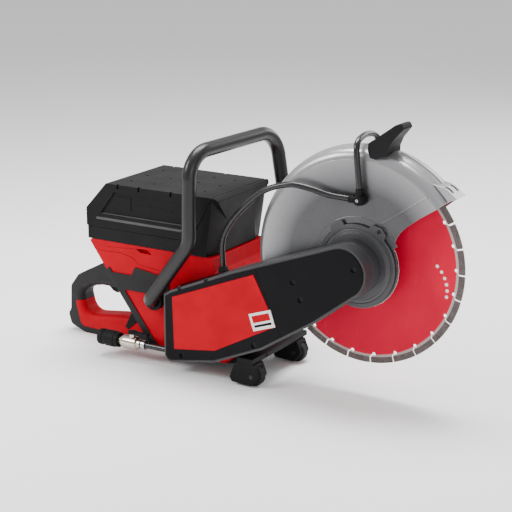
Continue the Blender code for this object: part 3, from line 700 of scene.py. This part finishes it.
def refined(node, material, width, cuts=()):
    """A CAD node's own shape with its facets welded and its edges rounded."""
    source = frame["nodes"][node].data
    mesh = bpy.data.meshes.new(f"{node}_fine")
    mesh.from_pydata(
        [tuple(vertex.co) for vertex in source.vertices], [],
        [tuple(face.vertices) for face in source.polygons])
    weld(mesh)
    mesh.transform(Matrix.Translation(-ARBOR))
    finish(f"{node}_fine", mesh, material, NODE_BODY[node], width, (node,), cuts)


MATERIALS = make_materials()


# ---- hoses ----
def hoses():
    """The supply hose from the arm's top to the tee, and the guard's hose over its rim."""
    supply = smooth_path([
        (-0.245, -0.053, -0.0395), (-0.2475, -0.053, 0.004), (-0.24, -0.052, 0.03),
        (-0.222, -0.051, 0.057), (-0.19, -0.051, 0.089), (-0.16, -0.05, 0.111),
        (-0.119, -0.049, 0.1235), (-0.085, -0.047, 0.1215), (-0.048, -0.044, 0.114),
        (TEE_X - 0.0183, HOSE_RIGHT, TEE_Z),
    ], 8)
    over_rim = smooth_path([
        (TEE_X, HOSE_RIGHT, TEE_Z + 0.019), (0.003, -0.043, 0.158), (0.0, -0.043, 0.19),
        (-0.003, -0.034, 0.2035), (-0.006, -0.012, 0.2085), (-0.008, 0.012, 0.2085),
        (-0.007, 0.034, 0.2035), (0.001, 0.043, 0.188), (TEE_X, 0.0425, 0.164),
    ], 8)
    for name, points, node in (
        ("supply_hose_fine", supply, "supply_hose"),
        ("guard_hose_fine", over_rim, "guard_hose"),
    ):
        piece = placed(name, tube(points, HOSE_RADIUS))
        piece.data.materials.append(MATERIALS["hose"])
        piece.data.shade_smooth()
        piece.data.set_sharp_from_angle(angle=HOSE_SMOOTH_ANGLE)
        if node == "supply_hose":
            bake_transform(piece)
        else:
            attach(piece, "guard")
        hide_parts(node)


# ---- the remaining CAD nodes, refined ----
REFINED = (
    ("grey", 0.0006, "side_panel_right", "side_panel_left"),
    ("black", 0.0005, "battery_tray"),
    ("black", 0.0008, "battery_base"),
    ("grey", 0.001, "battery_cells"),
    ("red", 0, "battery_latch"),
    ("black", 0.001, "handle_boss_right", "handle_boss_left", "trigger"),
    ("red", 0.0005, "lock_off_lever"),
    ("steel", 0.0003, "drive_pulley", "driven_pulley"),
    ("rubber", 0.0005, "drive_belt"),
    ("steel", 0.0005, "motor_rotor"),
    ("copper", 0.0005, "motor_stator"),
    ("cast", 0.0008, "motor_can"),
    ("steel", 0.0004, "motor_bearing"),
    ("grey", 0.001, "controller"),
    ("steel", 0.0004, "guard_retainer", "spindle", "spindle_bearing_outer", "spindle_bearing_inner"),
    ("steel", 0.0005, "inner_flange", "outer_flange"),
    ("dark_steel", 0.0005, "arbor_bolt"),
    ("black", 0.0005, "water_nozzle_left"),
    ("black", 0.0003, "coupling_sleeve"),
    ("nickel", 0.0004, "valve_body"),
    ("black", 0.0008, "valve_lever"),
    ("hose", 0, "inlet_tube"),
    ("steel", 0.0003, "hose_clamp"),
    ("black", 0.0012, "base_frame"),
    ("black", 0.0015, "wheel_bracket_right", "wheel_bracket_left"),
    ("rubber", 0.0005, "wheel_right", "wheel_left"),
    ("dark_steel", 0.0003, "axle_right", "axle_left"),
    ("red", 0.0006, "power_button"),
)


def refine_nodes():
    for material, width, *nodes in REFINED:
        for node in nodes:
            refined(node, material, width)


# ---- front handle ----
def front_handle():
    corners = [
        (FOOT_RIGHT[0], BODY_RIGHT - 0.004, FOOT_RIGHT[1]), (FOOT_RIGHT[0], -0.091, FOOT_RIGHT[1]),
        (-0.29, -0.091, 0.007), (-0.286, -0.093, 0.163), (-0.264, 0.15, 0.166),
        (FOOT_LEFT[0], 0.149, -0.005), (FOOT_LEFT[0], 0.142, FOOT_LEFT[1]),
        (FOOT_LEFT[0], BODY_LEFT + 0.004, FOOT_LEFT[1]),
    ]
    bends = (0, FOOT_BEND, 0.045, 0.045, 0.044, 0.04, FOOT_BEND, 0)
    path = fillet([(*corner, bend) for corner, bend in zip(corners, bends)], False, 16)
    finish("front_handle_fine", tube(path, TUBE_RADIUS, 10), "tube", "saw", 0, ("front_handle",))


# ---- blade ----
def blade_rim(outer, inner):
    """The blade's outline: arcs of the outer radius, parted by hooked slots with round ends."""
    pitch = 2 * pi / SEGMENTS
    half = GULLET_HALF / outer
    opening = asin(GULLET_HALF / GULLET_HOLE)
    points = []
    for number in range(SEGMENTS):
        gap = (number + 1) * pitch
        points += arc(outer, gap - pitch + half, gap - half, 10)
        sides = []
        for side in (-1, 1):
            run = []
            for step in range(1, 4):
                share = step / 4
                lean = GULLET_LEAN * share**1.5
                run.append(polar(outer + (inner - outer) * share, gap + lean + side * half))
            sides.append(run)
        centre = polar(inner, gap + GULLET_LEAN)
        facing = atan2(sides[0][-1][1] - centre[1], sides[0][-1][0] - centre[0])
        facing += opening * 0.5
        around = arc(GULLET_HOLE, facing - opening, facing - 2 * pi + opening, 14, centre)
        points += sides[0] + around + sides[1][::-1]
    return points


def polar(radius, angle):
    return (radius * cos(angle), radius * sin(angle))


def blade():
    """A lacquered core with keyhole gullets, and diamond segments brazed on its rim."""
    core_radius = BLADE_RADIUS - SEGMENT_DEPTH + 0.0005
    floor = BLADE_RADIUS - GULLET_DEPTH
    rim = blade_rim(core_radius, floor)
    bore = arc(BORE_RADIUS + GAP, 0, 2 * pi, 48)[:-1]
    core = slab([rim, bore], -BLADE_CORE_HALF, BLADE_CORE_HALF)
    finish("blade_core", core, "blade", "blade", 0.00025, ("diamond_blade",), segments=2)
    pitch = 2 * pi / SEGMENTS
    half = GULLET_HALF / BLADE_RADIUS
    pieces = []
    for number in range(SEGMENTS):
        start, end = number * pitch + half, (number + 1) * pitch - half
        inner = BLADE_RADIUS - SEGMENT_DEPTH
        outline = arc(BLADE_RADIUS, start, end, 10) + arc(inner, end, start, 10)
        pieces.append(slab([outline], -SEGMENT_HALF, SEGMENT_HALF))
    finish("blade_segments", merged(*pieces), "segment", "blade", 0.0003, segments=2)
    dots = []
    for step in range(DOTS):
        x, z = polar(0.1274 + 0.008 * step - 0.0007 * step**2, radians(4.5 - 3.9 * step))
        for side in (-1, 1):
            middle = side * (BLADE_CORE_HALF + 0.0001)
            dots.append(rod(DOT_RADIUS, middle - 0.00012, middle + 0.00012, (x, 0, z), steps=24))
    finish("blade_marks", merged(*dots), "mark", "blade", 0)


# ---- arm ----
ARM_CORNERS = [
    (-0.343, -0.086, 0.006), (-0.343, -0.212, 0.014), (-0.239, -0.194, 0.012),
    (-0.145, -0.154, 0.02), (-0.049, -0.093, 0.01), (0.018, -0.046, 0.0),
]
ARM_TOP = [(-0.207, -0.028), (-0.33, -0.08)]
SEAM = ((-0.16, -0.008), (-0.108, -0.124))
REAR_SCREWS = [(-0.311, -0.072), (-0.256, -0.05), (-0.306, -0.193), (-0.161, -0.149)]
FRONT_SCREWS = [(-0.087, -0.027), (-0.072, -0.055), (0.024, 0.011)]
PANEL = [(-0.324, -0.089), (-0.16, -0.024), (-0.116, -0.108), (-0.237, -0.172), (-0.321, -0.184)]


def arm_outline():
    """The arm from its side: straight rear block, tapering to the round end at the arbor."""
    lower = fillet(ARM_CORNERS, steps=10)
    nose = arc(0.045, radians(-60), radians(112), 48)
    return lower[:-1] + nose + ARM_TOP


def past_seam(outline, rear, gap):
    """The part of the arm outline behind or ahead of the slanted seam between its covers."""
    top, bottom = Vector(SEAM[0]), Vector(SEAM[1])
    run = (bottom - top).normalized()
    across = Vector((run.y, -run.x)) * (1 if rear else -1)
    kept = []
    for a, b in zip(outline, outline[1:] + outline[:1]):
        a, b = Vector(a), Vector(b)
        side_a = (a - top).dot(across) - gap / 2
        side_b = (b - top).dot(across) - gap / 2
        if side_a > 0:
            kept.append(tuple(a))
        if side_a * side_b < 0:
            kept.append(tuple(a.lerp(b, side_a / (side_a - side_b))))
    return kept


def screw(name, place, radius, body, axis="Y", side=-1, material="dark_steel"):
    """A socket-head screw with a hexagonal socket, its head facing the side's way."""
    x, y, z = place
    head = [(0, 0.0008), (radius * 0.86, 0.0008), (radius, 0.0), (radius, -0.003), (0, -0.003)]
    mesh = turned([(r, -side * -h) for r, h in head], (x, y, z), axis, 32)
    socket = rod(radius * 0.5, -0.0012, 0.003, (x, y, z), axis, 6)
    finish(name, mesh, material, body, 0.0002, cuts=[socket], segments=2)


def folded_panel():
    """The red panel on the arm: a flat field, and a corner facet folded inwards."""
    face, low_face, back = ARM_OUTER - 0.0016, ARM_OUTER - 0.0003, ARM_OUTER + 0.0004
    ring = inset(PANEL, 0.0006)
    shape = bmesh.new()
    front = [shape.verts.new((x, face, z)) for x, z in ring]
    front[2].co.y = low_face
    rear = [shape.verts.new((x, back, z)) for x, z in ring]
    shape.faces.new((front[0], front[1], front[3], front[4]))
    shape.faces.new((front[1], front[2], front[3]))
    shape.faces.new(list(reversed(rear)))
    for n in range(len(ring)):
        m = (n + 1) % len(ring)
        shape.faces.new((front[m], front[n], rear[n], rear[m]))
    return as_mesh(shape)


def cup(outline, wall, levels):
    """A cover open at its back: the levels are the Y of its face, its floor and its rim."""
    face, floor, rim = levels
    inside = inset(outline, wall)
    rings = ((outline, face), (outline, rim), (inside, rim), (inside, floor))
    return lofted([[(x, y, z) for x, z in ring] for ring, y in rings])


def arm():
    outline = arm_outline()
    bore = rod(HUB_BORE, -CLEAR, 0)
    finish(
        "arm_housing_fine", slab([outline], ARM_SPLIT + GAP, ARM_INNER), "cast", "saw", 0.001,
        ("arm_housing",), [bore])
    face_at = ARM_OUTER + FACE_STEP
    for name, is_rear, holes in (
            ("belt_cover", True, REAR_SCREWS), ("arm_cover", False, FRONT_SCREWS)):
        shape = past_seam(outline, is_rear, GAP)
        flank = cup(shape, FLANK_WALL, (face_at, ARM_OUTER + FLANK_DEPTH, ARM_SPLIT))
        wells = [
            rod(SCREW_WELL, -CLEAR, ARM_OUTER + 0.0062, (x, 0, z), steps=32) for x, z in holes]
        finish(f"{name}_flank", flank, "flank", "saw", 0.0018, (name,), wells)
        plate = past_seam(inset(outline, 0.0042), is_rear, 0.0004)
        wells = [rod(SCREW_WELL, -CLEAR, 0, (x, 0, z), steps=32) for x, z in holes]
        finish(
            f"{name}_face", slab([plate], ARM_OUTER, face_at + 0.0004), "cover", "saw", 0.0007,
            cuts=wells)
        for number, (x, z) in enumerate(holes):
            screw(f"{name}_screw_{number}", (x, ARM_OUTER + 0.0045, z), SCREW_HEAD, "saw")
    finish("cover_panel_fine", folded_panel(), "red", "saw", 0.0005, ("cover_panel",))
    blank_label()


def blank_label():
    """A plain white label at the panel's front corner, with two plain bars and no text."""
    across = Vector((0.03, 0.0103)).normalized()
    up = Vector((-across.y, across.x))
    middle = Vector((-0.1435, -0.1015))
    y = ARM_OUTER - 0.0014

    def bar(centre, width, height):
        corners = [(-1, -1), (1, -1), (1, 1), (-1, 1)]
        return [tuple(centre + across * (a * width / 2) + up * (b * height / 2)) for a, b in corners]

    field = slab([bar(middle, 0.044, 0.03)], y - 0.0004, ARM_OUTER + 0.0002)
    finish("label_field", field, "mark", "saw", 0)
    for name, offset, height, material in (
            ("label_bar_upper", 0.0045, 0.012, "red"), ("label_bar_lower", -0.0075, 0.004, "cover")):
        outline = bar(middle + up * offset, 0.035, height)
        finish(name, slab([outline], y - 0.0006, y), material, "saw", 0)


# ---- hub ----
def bossed(corners):
    """A plate on the hub's flange, from (radius, degrees, rounding) corners."""
    outline = fillet([(*polar(radius, radians(turn)), bend) for radius, turn, bend in corners])
    return slab([outline], *HUB_FACE)


def hub():
    """The bearing drum: a flange outside the guard's collar, and steps out to the arm."""
    drum = turned([
        (0.0265, -0.029), (0.065, -0.029), (0.065, -0.0339), (0.0688, -0.0339),
        (0.07, -0.035), (0.07, -0.0378), (0.0685, -0.039), (0.063, -0.039),
        (0.0618, -0.0382), (0.0606, -0.039), (0.0575, -0.0394), (0.056, -0.0417),
        (0.0265, -0.0417)], steps=128)
    finish("hub_drum", drum, "cast", "saw", 0.0003, ("hub_housing",), segments=2)
    ear = bossed([
        (0.066, 44, 0.002), (0.0785, 48, 0.004), (0.0825, 57, 0.008), (0.0785, 68, 0.004),
        (0.066, 74, 0.002)])
    x, z = polar(0.0745, radians(57))
    hole = rod(SCREW_HEAD, -CLEAR, -0.0365, (x, 0, z))
    finish("hub_ear", ear, "cast", "saw", 0.0008, cuts=[hole])
    screw("hub_ear_screw", (x, -0.0372, z), 0.003, "saw")
    lug = bossed([(0.066, 108, 0.002), (0.079, 110, 0.003), (0.079, 127, 0.003), (0.066, 134, 0.002)])
    finish("hub_lug", lug, "cast", "saw", 0.0008)


# ---- guard ----
def guard_skin(depth):
    """The guard's section from its far shoulder to its near one, a depth below the surface."""
    soft = GUARD_SHOULDER
    base = GUARD_RADIUS - GUARD_CROWN
    flat = GUARD_HALF_WIDTH - soft
    bend = 10
    side = [
        (base - soft + (soft - depth) * sin(pi / 2 * n / bend),
         flat + (soft - depth) * cos(pi / 2 * n / bend)) for n in range(bend + 1)]
    crown = [flat * (1 - n / 4) for n in range(1, 8)]
    top = [(base - depth + GUARD_CROWN * (1 - (y / flat) ** 2), y) for y in crown]
    return side + top + [(r, -y) for r, y in reversed(side)]


def guard_profile():
    """The shell's section as (radius, y): crowned rim, rolled shoulders, far wall."""
    half, wall = GUARD_HALF_WIDTH, GUARD_WALL
    near_start = GUARD_RADIUS - GUARD_CROWN - GUARD_SHOULDER - 0.0005
    outer = [(GUARD_FAR_HOLE, half), *guard_skin(0), (near_start, -half)]
    inner = [(near_start, wall - half), *reversed(guard_skin(wall)), (GUARD_FAR_HOLE, half - wall)]
    return outer + inner


def swept(profile, start, end, steps):
    """A closed (radius, y) section carried round the arbor's axis between two angles."""
    angles = [start + (end - start) * step / steps for step in range(steps + 1)]
    return lofted([
        [(r * cos(angle), y, r * sin(angle)) for r, y in profile] for angle in angles])


def near_wall_outline():
    """The near wall's plate: the sector, its concave run into the collar, and the collar."""
    rim = GUARD_RADIUS - GUARD_CROWN - GUARD_SHOULDER
    front = smooth_path([
        polar(rim, GUARD_FRONT), (0.112, 0.0945), (0.097, 0.0835), (0.081, 0.0705),
        (0.0705, 0.057), (0.0655, 0.041), (0.0655, 0.029)], 6)
    collar = arc(COLLAR_RADIUS, GUARD_REAR - 2 * pi, radians(22), 60)
    sector = arc(rim, GUARD_FRONT, GUARD_REAR, 110)
    return sector + collar + front[::-1][:-1]


def guard():
    """The pressed shell: near wall with its collar, rolled shoulders, crowned rim, far wall."""
    half, wall = GUARD_HALF_WIDTH, GUARD_WALL
    channel = swept(guard_profile(), GUARD_FRONT, GUARD_REAR, 130)
    finish("guard_channel", channel, "silver", "guard", 0.0006, ("guard_shell",), segments=2)
    hole = arc(GUARD_HOLE, 0, 2 * pi, 96)[:-1]
    near_wall = slab([near_wall_outline(), hole], -half, wall - half)
    finish("guard_near_wall", near_wall, "silver", "guard", 0.0005, segments=2)
    back, face = 0.0004 - half, -0.0006 - half
    inner = GUARD_HOLE + 0.005
    collar = turned([(inner, back), (0.0822, back), (0.0815, face), (inner, face)], steps=128)
    above = slab([[(0, 0), *arc(0.2, radians(30), radians(160), 12)]], -0.06, 0)
    finish(
        "guard_collar_rim", collar, "silver", "guard", 0.0004, within=[above], segments=2)
    bar = groove([polar(0.087, radians(60.2)), polar(0.1765, radians(47.1))], 0.0028)
    rib = slab([bar], -half - 0.0016, -half + 0.0005)
    finish("guard_rib", rib, "silver", "guard", 0.0007)
    foot, top = GUARD_RADIUS - 0.001, GUARD_RADIUS + 0.0016
    section = [(foot, -0.0022), (top, -0.0012), (top, 0.0012), (foot, 0.0022)]
    rail = swept(section, radians(46), radians(73), 60)
    finish("guard_rail", rail, "silver", "guard", 0)
    deflector()


def deflector():
    """The lip at the guard's front: a wedge that rises off the rim, with two slots in it."""
    tip = (0.164, 0.1275)
    under = arc(GUARD_RADIUS - 0.003, radians(50), radians(39.2), 16)
    brow = fillet([(*tip, 0.0015), (0.145, 0.143, 0.03), (*under[0], 0)], False, 8)
    outline = [*brow, *under[1:]]
    rise = (Vector(tip) - Vector(under[0])).normalized()
    lift = Vector((-rise.y, rise.x))
    slots = []
    for y in (-0.011, 0.007):
        middle = Vector(under[0]).lerp(Vector(tip), 0.55) + lift * 0.0022
        corners = [(-0.008, -0.0035), (0.008, -0.0035), (0.008, 0.006), (-0.008, 0.006)]
        ring = [tuple(middle + rise * a + lift * b) for a, b in corners]
        slots.append(slab([ring], y - 0.0032, y + 0.0032))
    lip = slab([outline], -0.02, 0.016)
    finish("guard_deflector_fine", lip, "silver", "guard", 0.0008, ("guard_deflector",), slots)


def guard_lever():
    """The horn that tilts the guard: its near face leans in from the shoulder to the tip."""
    outline = fillet([
        (0.0125, 0.202, 0.003), (0.023, 0.2095, 0), (0.055, 0.2338, 0.012),
        (0.0655, 0.2368, 0.004), (0.07, 0.2285, 0.004), (0.055, 0.2105, 0.02),
        (0.0485, 0.196, 0.006), (0.048, 0.186, 0.004), (0.03, 0.179, 0.006),
        (0.0205, 0.1805, 0.003), (0.014, 0.19, 0.003)], steps=6)
    near = [(-0.0365, 0.17), (-0.0365, 0.179), (-0.015, 0.24), (-0.06, 0.24), (-0.06, 0.17)]
    far = [(0.017, 0.17), (0.012, 0.24), (0.06, 0.24), (0.06, 0.17)]
    leaning = [prism_x(corners, -0.05, 0.1) for corners in (near, far)]
    low = (0.12, -LEVER_GAP - GUARD_HALF_WIDTH)
    inside = [*guard_skin(-LEVER_GAP), low, (0.12, GUARD_HALF_WIDTH)]
    under = swept(inside, radians(60), radians(100), 60)
    horn = slab([outline], -0.04, 0.02)
    finish("guard_lever_horn", horn, "black", "guard", 0.0016, ("guard_lever",), [under, *leaning])


def prism_x(corners, low_x, high_x):
    """A Y-Z outline extruded along X."""
    return lofted([[(x, y, z) for y, z in corners] for x in (low_x, high_x)])


# ---- water fittings ----
def knurled(radius, depth, count, low_y, high_y, centre):
    """A ring whose outside is cut by shallow flutes."""
    outline = []
    for number in range(count):
        middle = 2 * pi * number / count
        half = pi / count
        outline += arc(radius, middle - half * 0.55, middle + half * 0.55, 3, centre)
        outline.append((
            centre[0] + (radius - depth) * cos(middle + half),
            centre[1] + (radius - depth) * sin(middle + half)))
    return slab([outline], low_y, high_y)


def water_tee():
    """A knurled cap over the tee's body, two hose tails with crimped ferrules, and a screw."""
    wall = -GUARD_HALF_WIDTH
    body = turned([
        (0, -0.0505), (0.006, -0.0505), (0.0072, -0.0495), (0.0072, -0.046), (0.0078, -0.0455),
        (0.0078, -0.038), (0.0105, -0.0375), (0.0105, wall - GAP), (0, wall - GAP)],
        (TEE_X, 0, TEE_Z))
    finish("water_tee_body", body, "black", "guard", 0.0004, ("water_tee",))
    cap = knurled(0.009, 0.0007, 22, -0.0482, -0.04, (TEE_X, TEE_Z))
    finish("water_tee_cap", cap, "black", "guard", 0.0003)
    screw("water_tee_screw", (TEE_X, -0.051, TEE_Z), 0.0026, "guard", material="steel")
    tails = (
        ("up", "Z", 1, 0.0185),
        ("rear", "X", -1, 0.018),
    )
    thin, thick = 0.0058, 0.0064
    place = (TEE_X, HOSE_RIGHT, TEE_Z)
    for name, axis, way, reach in tails:
        profile = [(radius, way * (reach - back)) for radius, back in (
            (0, 0), (thin, 0), (thick, 0.001), (thick, 0.0035), (thin, 0.0045), (thin, 0.006),
            (thick, 0.007), (thick, 0.0095), (0, 0.0095))]
        finish(f"water_tail_{name}", turned(profile, place, axis), "black", "guard", 0.0002)


def hose_grommet():
    """The grommet where the supply hose leaves the arm."""
    grommet = turned([
        (0.0052, 0.006), (0.0064, 0.006), (0.0072, 0.005), (0.0072, 0.0025), (0.0088, 0.0018),
        (0.0088, -0.004), (0.0052, -0.004)], (-0.2452, -0.053, -0.0395), "Z")
    finish("hose_grommet", grommet, "rubber", "saw", 0.0003)


# ---- battery ----
NOTCH_HALF, NOTCH_FLOOR = 0.0021, 0.0765
PIT_RADIUS, PIT_DEPTH = 0.003, 0.0008
BATTERY_SIDES = ((-1, "right", BATTERY_RIGHT), (1, "left", BATTERY_LEFT))
LID_CORNERS = [
    (-0.527, 0.028 + GAP, 0), (-0.2925, 0.028 + GAP, 0), (-0.2612, BATTERY_TOP, 0.002),
    (-0.482, BATTERY_TOP, 0.004), (-0.527, 0.036, 0.004),
]
RECESS = [
    (-0.497, 0.0285, 0.001), (-0.318, 0.0285, 0.001), (-0.301, 0.0715, 0.002),
    (-0.465, 0.0715, 0.003),
]


def battery_lid():
    """The pack's lid: recessed sides under a notched top rail, and pits over the top."""
    outline = fillet(LID_CORNERS)
    cuts = []
    for side, _, y in BATTERY_SIDES:
        cuts.append(slab([fillet(RECESS, steps=4)], *depths(y, side, 0.004, 0.0035)))
        near_rail, far_rail = depths(y, side, 0.004, 0.0055)
        for x in (-0.457, -0.412, -0.345):
            cuts.append(block(
                (x - NOTCH_HALF, near_rail, NOTCH_FLOOR), (x + NOTCH_HALF, far_rail, CLEAR)))
    for x in (-0.455, -0.405, -0.345, -0.3):
        for y in (-0.025, 0.024, 0.073):
            cuts.append(rod(PIT_RADIUS, BATTERY_TOP - PIT_DEPTH, CLEAR, (x, y, 0), "Z", 24))
    lid = slab([outline], BATTERY_RIGHT, BATTERY_LEFT)
    finish("battery_lid_fine", lid, "black", "battery", 0.0011, ("battery_lid",), cuts)
    for side, name, y in BATTERY_SIDES:
        badge = [(-0.459, 0.0375), (-0.431, 0.0375), (-0.431, 0.0635), (-0.459, 0.0635)]
        plate = slab([badge], *depths(y, side, -0.0024, 0.0045))
        finish(f"battery_badge_{name}", plate, "black", "battery", 0.0007)
        rib = [(-0.424, 0.047), (-0.345, 0.047), (-0.345, 0.052), (-0.424, 0.052)]
        plate = slab([rib], *depths(y, side, -0.0029, 0.0045))
        finish(f"battery_rib_{name}", plate, "black", "battery", 0.0005)


def battery_ledges():
    """The sloping ledges under the recesses, on the pack's base, in the black plastic painted paler as a
    painted highlight for the light they catch from above.
    """
    for side, name, y in BATTERY_SIDES:
        corners = [
            (y + side * 0.0012, 0.0185), (y - side * 0.0025, 0.03), (y - side * 0.006, 0.03),
            (y - side * 0.001, 0.017)]
        ledge = prism_x(corners, -0.505, -0.322)
        finish(f"battery_ledge_{name}", ledge, "ledge", "battery", 0.0006)


def front_housing():
    """The electronics housing ahead of the battery, with a facet cut off each front corner."""
    outline = fillet([
        (-0.304, TRAY_Z + GAP, 0), (-0.2665, TRAY_Z + GAP, 0.003),
        (-0.2515, 0.08, 0.004), (-0.256, 0.085, 0.001), (-0.261, 0.085, 0),
        (-0.304, 0.006, 0)])
    cuts = []
    for side, _, y in BATTERY_SIDES:
        corner = [
            (-0.2765, y + side * 0.001, -0.03), (-0.264, y - side * 0.034, -0.03),
            (-0.2575, y - side * 0.046, 0.036), (-0.259, y + side * 0.001, 0.086)]
        ahead = [(-0.22, across, z) for _, across, z in corner]
        cuts.append(hull(corner + ahead))
        seam = groove([(-0.2606, 0.085), (-0.3038, 0.006)], 0.0022)
        cuts.append(slab([seam], *depths(y, side, 0.01, 0.0018)))
    housing = slab([outline], BATTERY_RIGHT, BATTERY_LEFT)
    finish("front_housing_fine", housing, "black", "saw", 0.0014, ("front_housing",), cuts)


# ---- body ----
LOUVRES, LOUVRE_PITCH = 6, 0.0095
BODY_SIDES = ((-1, "right", BODY_RIGHT), (1, "left", BODY_LEFT))
BODY_CORNERS = [
    (-0.525, TRAY_Z, 0.004), (-0.486, -0.074, 0.004), (-0.388, -0.204, 0.006),
    (-0.235, -0.204, 0.006), (-0.204, -0.17, 0.008), (-0.204, -0.085, 0.008),
    (-0.258, -0.045, 0.008), (-0.262, TRAY_Z, 0.003),
]
PANEL_LINE = ([
    (-0.519, -0.0405), (-0.458, -0.0385), (-0.43, -0.0425), (-0.4165, -0.054),
    (-0.36, -0.06)], 0.0009)


def groove(points, width):
    """The outline of a band of a given width along an open path."""
    run = [Vector(point) for point in points]
    left, right = [], []
    for number, here in enumerate(run):
        before = run[max(number - 1, 0)]
        after = run[min(number + 1, len(run) - 1)]
        along = (after - before).normalized()
        side = Vector((-along.y, along.x)) * width / 2
        left.append(tuple(here + side))
        right.append(tuple(here - side))
    return left + right[::-1]


def body_right():
    """The red right shell: arm pocket, air slot, and the panel line over the dark panel."""
    outline = fillet(BODY_CORNERS)
    pocket = slab([inset(arm_outline(), -0.0015)], -0.2, ARM_INNER + GAP)
    slot = [(-0.421, -0.0265), (-0.397, -0.0245), (-0.388, -0.033), (-0.412, -0.0325)]
    step = groove([(-0.485, -0.031), (-0.398, -0.025)], 0.0008)
    cuts = [
        pocket, rod(0.0095, -0.05, -0.03, (-0.262, 0, -0.122)),
        slab([groove(*PANEL_LINE)], -CLEAR, BODY_RIGHT + 0.0009),
        slab([slot], -CLEAR, BODY_RIGHT + 0.008), slab([step], -CLEAR, BODY_RIGHT + 0.0006),
    ]
    shell = slab([outline], BODY_RIGHT, BODY_MIDDLE - GAP / 2)
    finish("body_shell_right_fine", shell, "red", "saw", 0.0016, ("body_shell_right",), cuts)


def body_left():
    """The red left shell: panel line, cooling louvres under the dark panel, and its screws."""
    outside = BODY_LEFT + 0.02
    cuts = [slab([groove(*PANEL_LINE)], BODY_LEFT - 0.0009, outside)]
    for number in range(LOUVRES):
        z = -0.124 - LOUVRE_PITCH * number
        below, above = z - 0.0016, z + 0.0016
        louvre = [(-0.352, below), (-0.292, below), (-0.289, above), (-0.349, above)]
        cuts.append(slab([louvre], BODY_LEFT - 0.003, outside))
    places = [(-0.497, -0.033), (-0.285, -0.033), (-0.222, -0.165), (-0.378, -0.19)]
    for x, z in places:
        cuts.append(rod(0.0044, BODY_LEFT - 0.0035, outside, (x, 0, z), steps=32))
    refined("body_shell_left", "red", 0.0012, cuts)
    for number, (x, z) in enumerate(places):
        screw(f"body_screw_left_{number}", (x, BODY_LEFT - 0.0008, z), SCREW_HEAD, "saw", side=1)


def belly_pan():
    """A black strip round the body's lower edge, above the base frame."""
    strip = groove(
        [(-0.386, -0.2), (-0.237, -0.2), (-0.2065, -0.1725), (-0.2035, -0.16)], 0.0095)
    pan = slab([strip], ARM_INNER + 0.0012, BODY_LEFT + 0.0016)
    finish("belly_pan", pan, "black", "saw", 0.0012)


def side_edges():
    """The dark side panels' edges, folded round the body's rear corners."""
    strip = groove([(-0.4837, -0.0702), (-0.3854, -0.2012)], 0.0093)
    for side, name, y in BODY_SIDES:
        sides = depths(y, side, 0.0021, 0.012)
        finish(f"side_edge_{name}", slab([strip], *sides), "grey", "saw", 0.001)


# ---- rear handle ----
def rounded_opening(outline, low_y, high_y, radius, steps=8):
    """A cutter for an opening whose edges are rounded at both faces."""
    turns = [pi / 2 * n / steps for n in range(steps + 1)]
    lips = [(radius * (1 - cos(turn)), radius * (1 - sin(turn))) for turn in turns]
    beyond = 0.01
    levels = [(low_y - beyond, radius)] + [(low_y + depth, flare) for depth, flare in lips]
    levels += [(high_y - depth, flare) for depth, flare in reversed(lips)]
    levels.append((high_y + beyond, radius))
    return lofted([[(x, y, z) for x, z in inset(outline, -flare)] for y, flare in levels])


def rear_handle():
    """The grip: a soft black rim over a red lower half, with the trigger's slot inside."""
    outer = fillet([
        (-0.5055, -0.0735, 0), (-0.541, -0.084, 0.02), (-0.602, -0.116, 0.022),
        (-0.62, -0.14, 0.014), (-0.622, -0.186, 0.006), (-0.628, -0.196, 0.008),
        (-0.622, -0.216, 0.01), (-0.59, -0.228, 0.014), (-0.48, -0.228, 0.006),
        (-0.395, -0.2055, 0), (-0.3886, -0.2048, 0), (-0.4872, -0.074, 0)])
    hole = fillet([
        (-0.597, -0.15, 0.012), (-0.574, -0.1365, 0.014), (-0.552, -0.132, 0.004),
        (-0.455, -0.132, 0.001), (-0.4205, -0.177, 0.003), (-0.509, -0.182, 0.06),
        (-0.588, -0.192, 0.022)])
    panel = fillet([
        (-0.61, -0.167, 0.004), (-0.56, -0.167, 0), (-0.44, -0.167, 0),
        (-0.43, -0.202, 0.004), (-0.5, -0.2185, 0.006), (-0.598, -0.216, 0.014)])
    x, z = TRIGGER_PIVOT
    y = BODY_MIDDLE
    trigger, lever = 0.0085, 0.0065  # half the widths of the slots for the two controls
    cuts = [
        block((x - 0.048, y - trigger, z - 0.03), (x + 0.012, y + trigger, z + 0.01)),
        block((-0.586, y - lever, -0.1185), (-0.546, y + lever, -0.05)),
    ]
    near, far = y - HANDLE_HALF, y + HANDLE_HALF
    opening = rounded_opening(hole, near, far, GRIP_ROUND)
    finish(
        "rear_handle_rim", slab([outer], near, far), "overmould", "saw", 0.0048,
        ("rear_handle_right", "rear_handle_left"),
        [opening, slab([inset(panel, -GAP)], -CLEAR, CLEAR), *cuts], segments=5)
    near_face, far_face = near - PANEL_PROUD, far + PANEL_PROUD
    opening = rounded_opening(inset(hole, -0.0008), near_face, far_face, GRIP_ROUND)
    finish(
        "rear_handle_panel", slab([panel], near_face, far_face), "red", "saw", 0.005,
        ("handle_panel_right", "handle_panel_left"), [opening], segments=5)
    chevron = [(-0.48, -0.17), (-0.495, -0.2), (-0.488, -0.205), (-0.466, -0.184)]
    for name, low, high in (
            ("right", near - CHEVRON_PROUD, near), ("left", far, far + CHEVRON_PROUD)):
        finish(f"handle_chevron_{name}", slab([chevron], low, high), "black", "saw", 0.0009)


# ---- build ----
camera()
studio()
hoses()
refine_nodes()
front_handle()
blade()
arm()
hub()
guard()
guard_lever()
battery_lid()
battery_ledges()
front_housing()
body_right()
body_left()
belly_pan()
side_edges()
rear_handle()
water_tee()
hose_grommet()
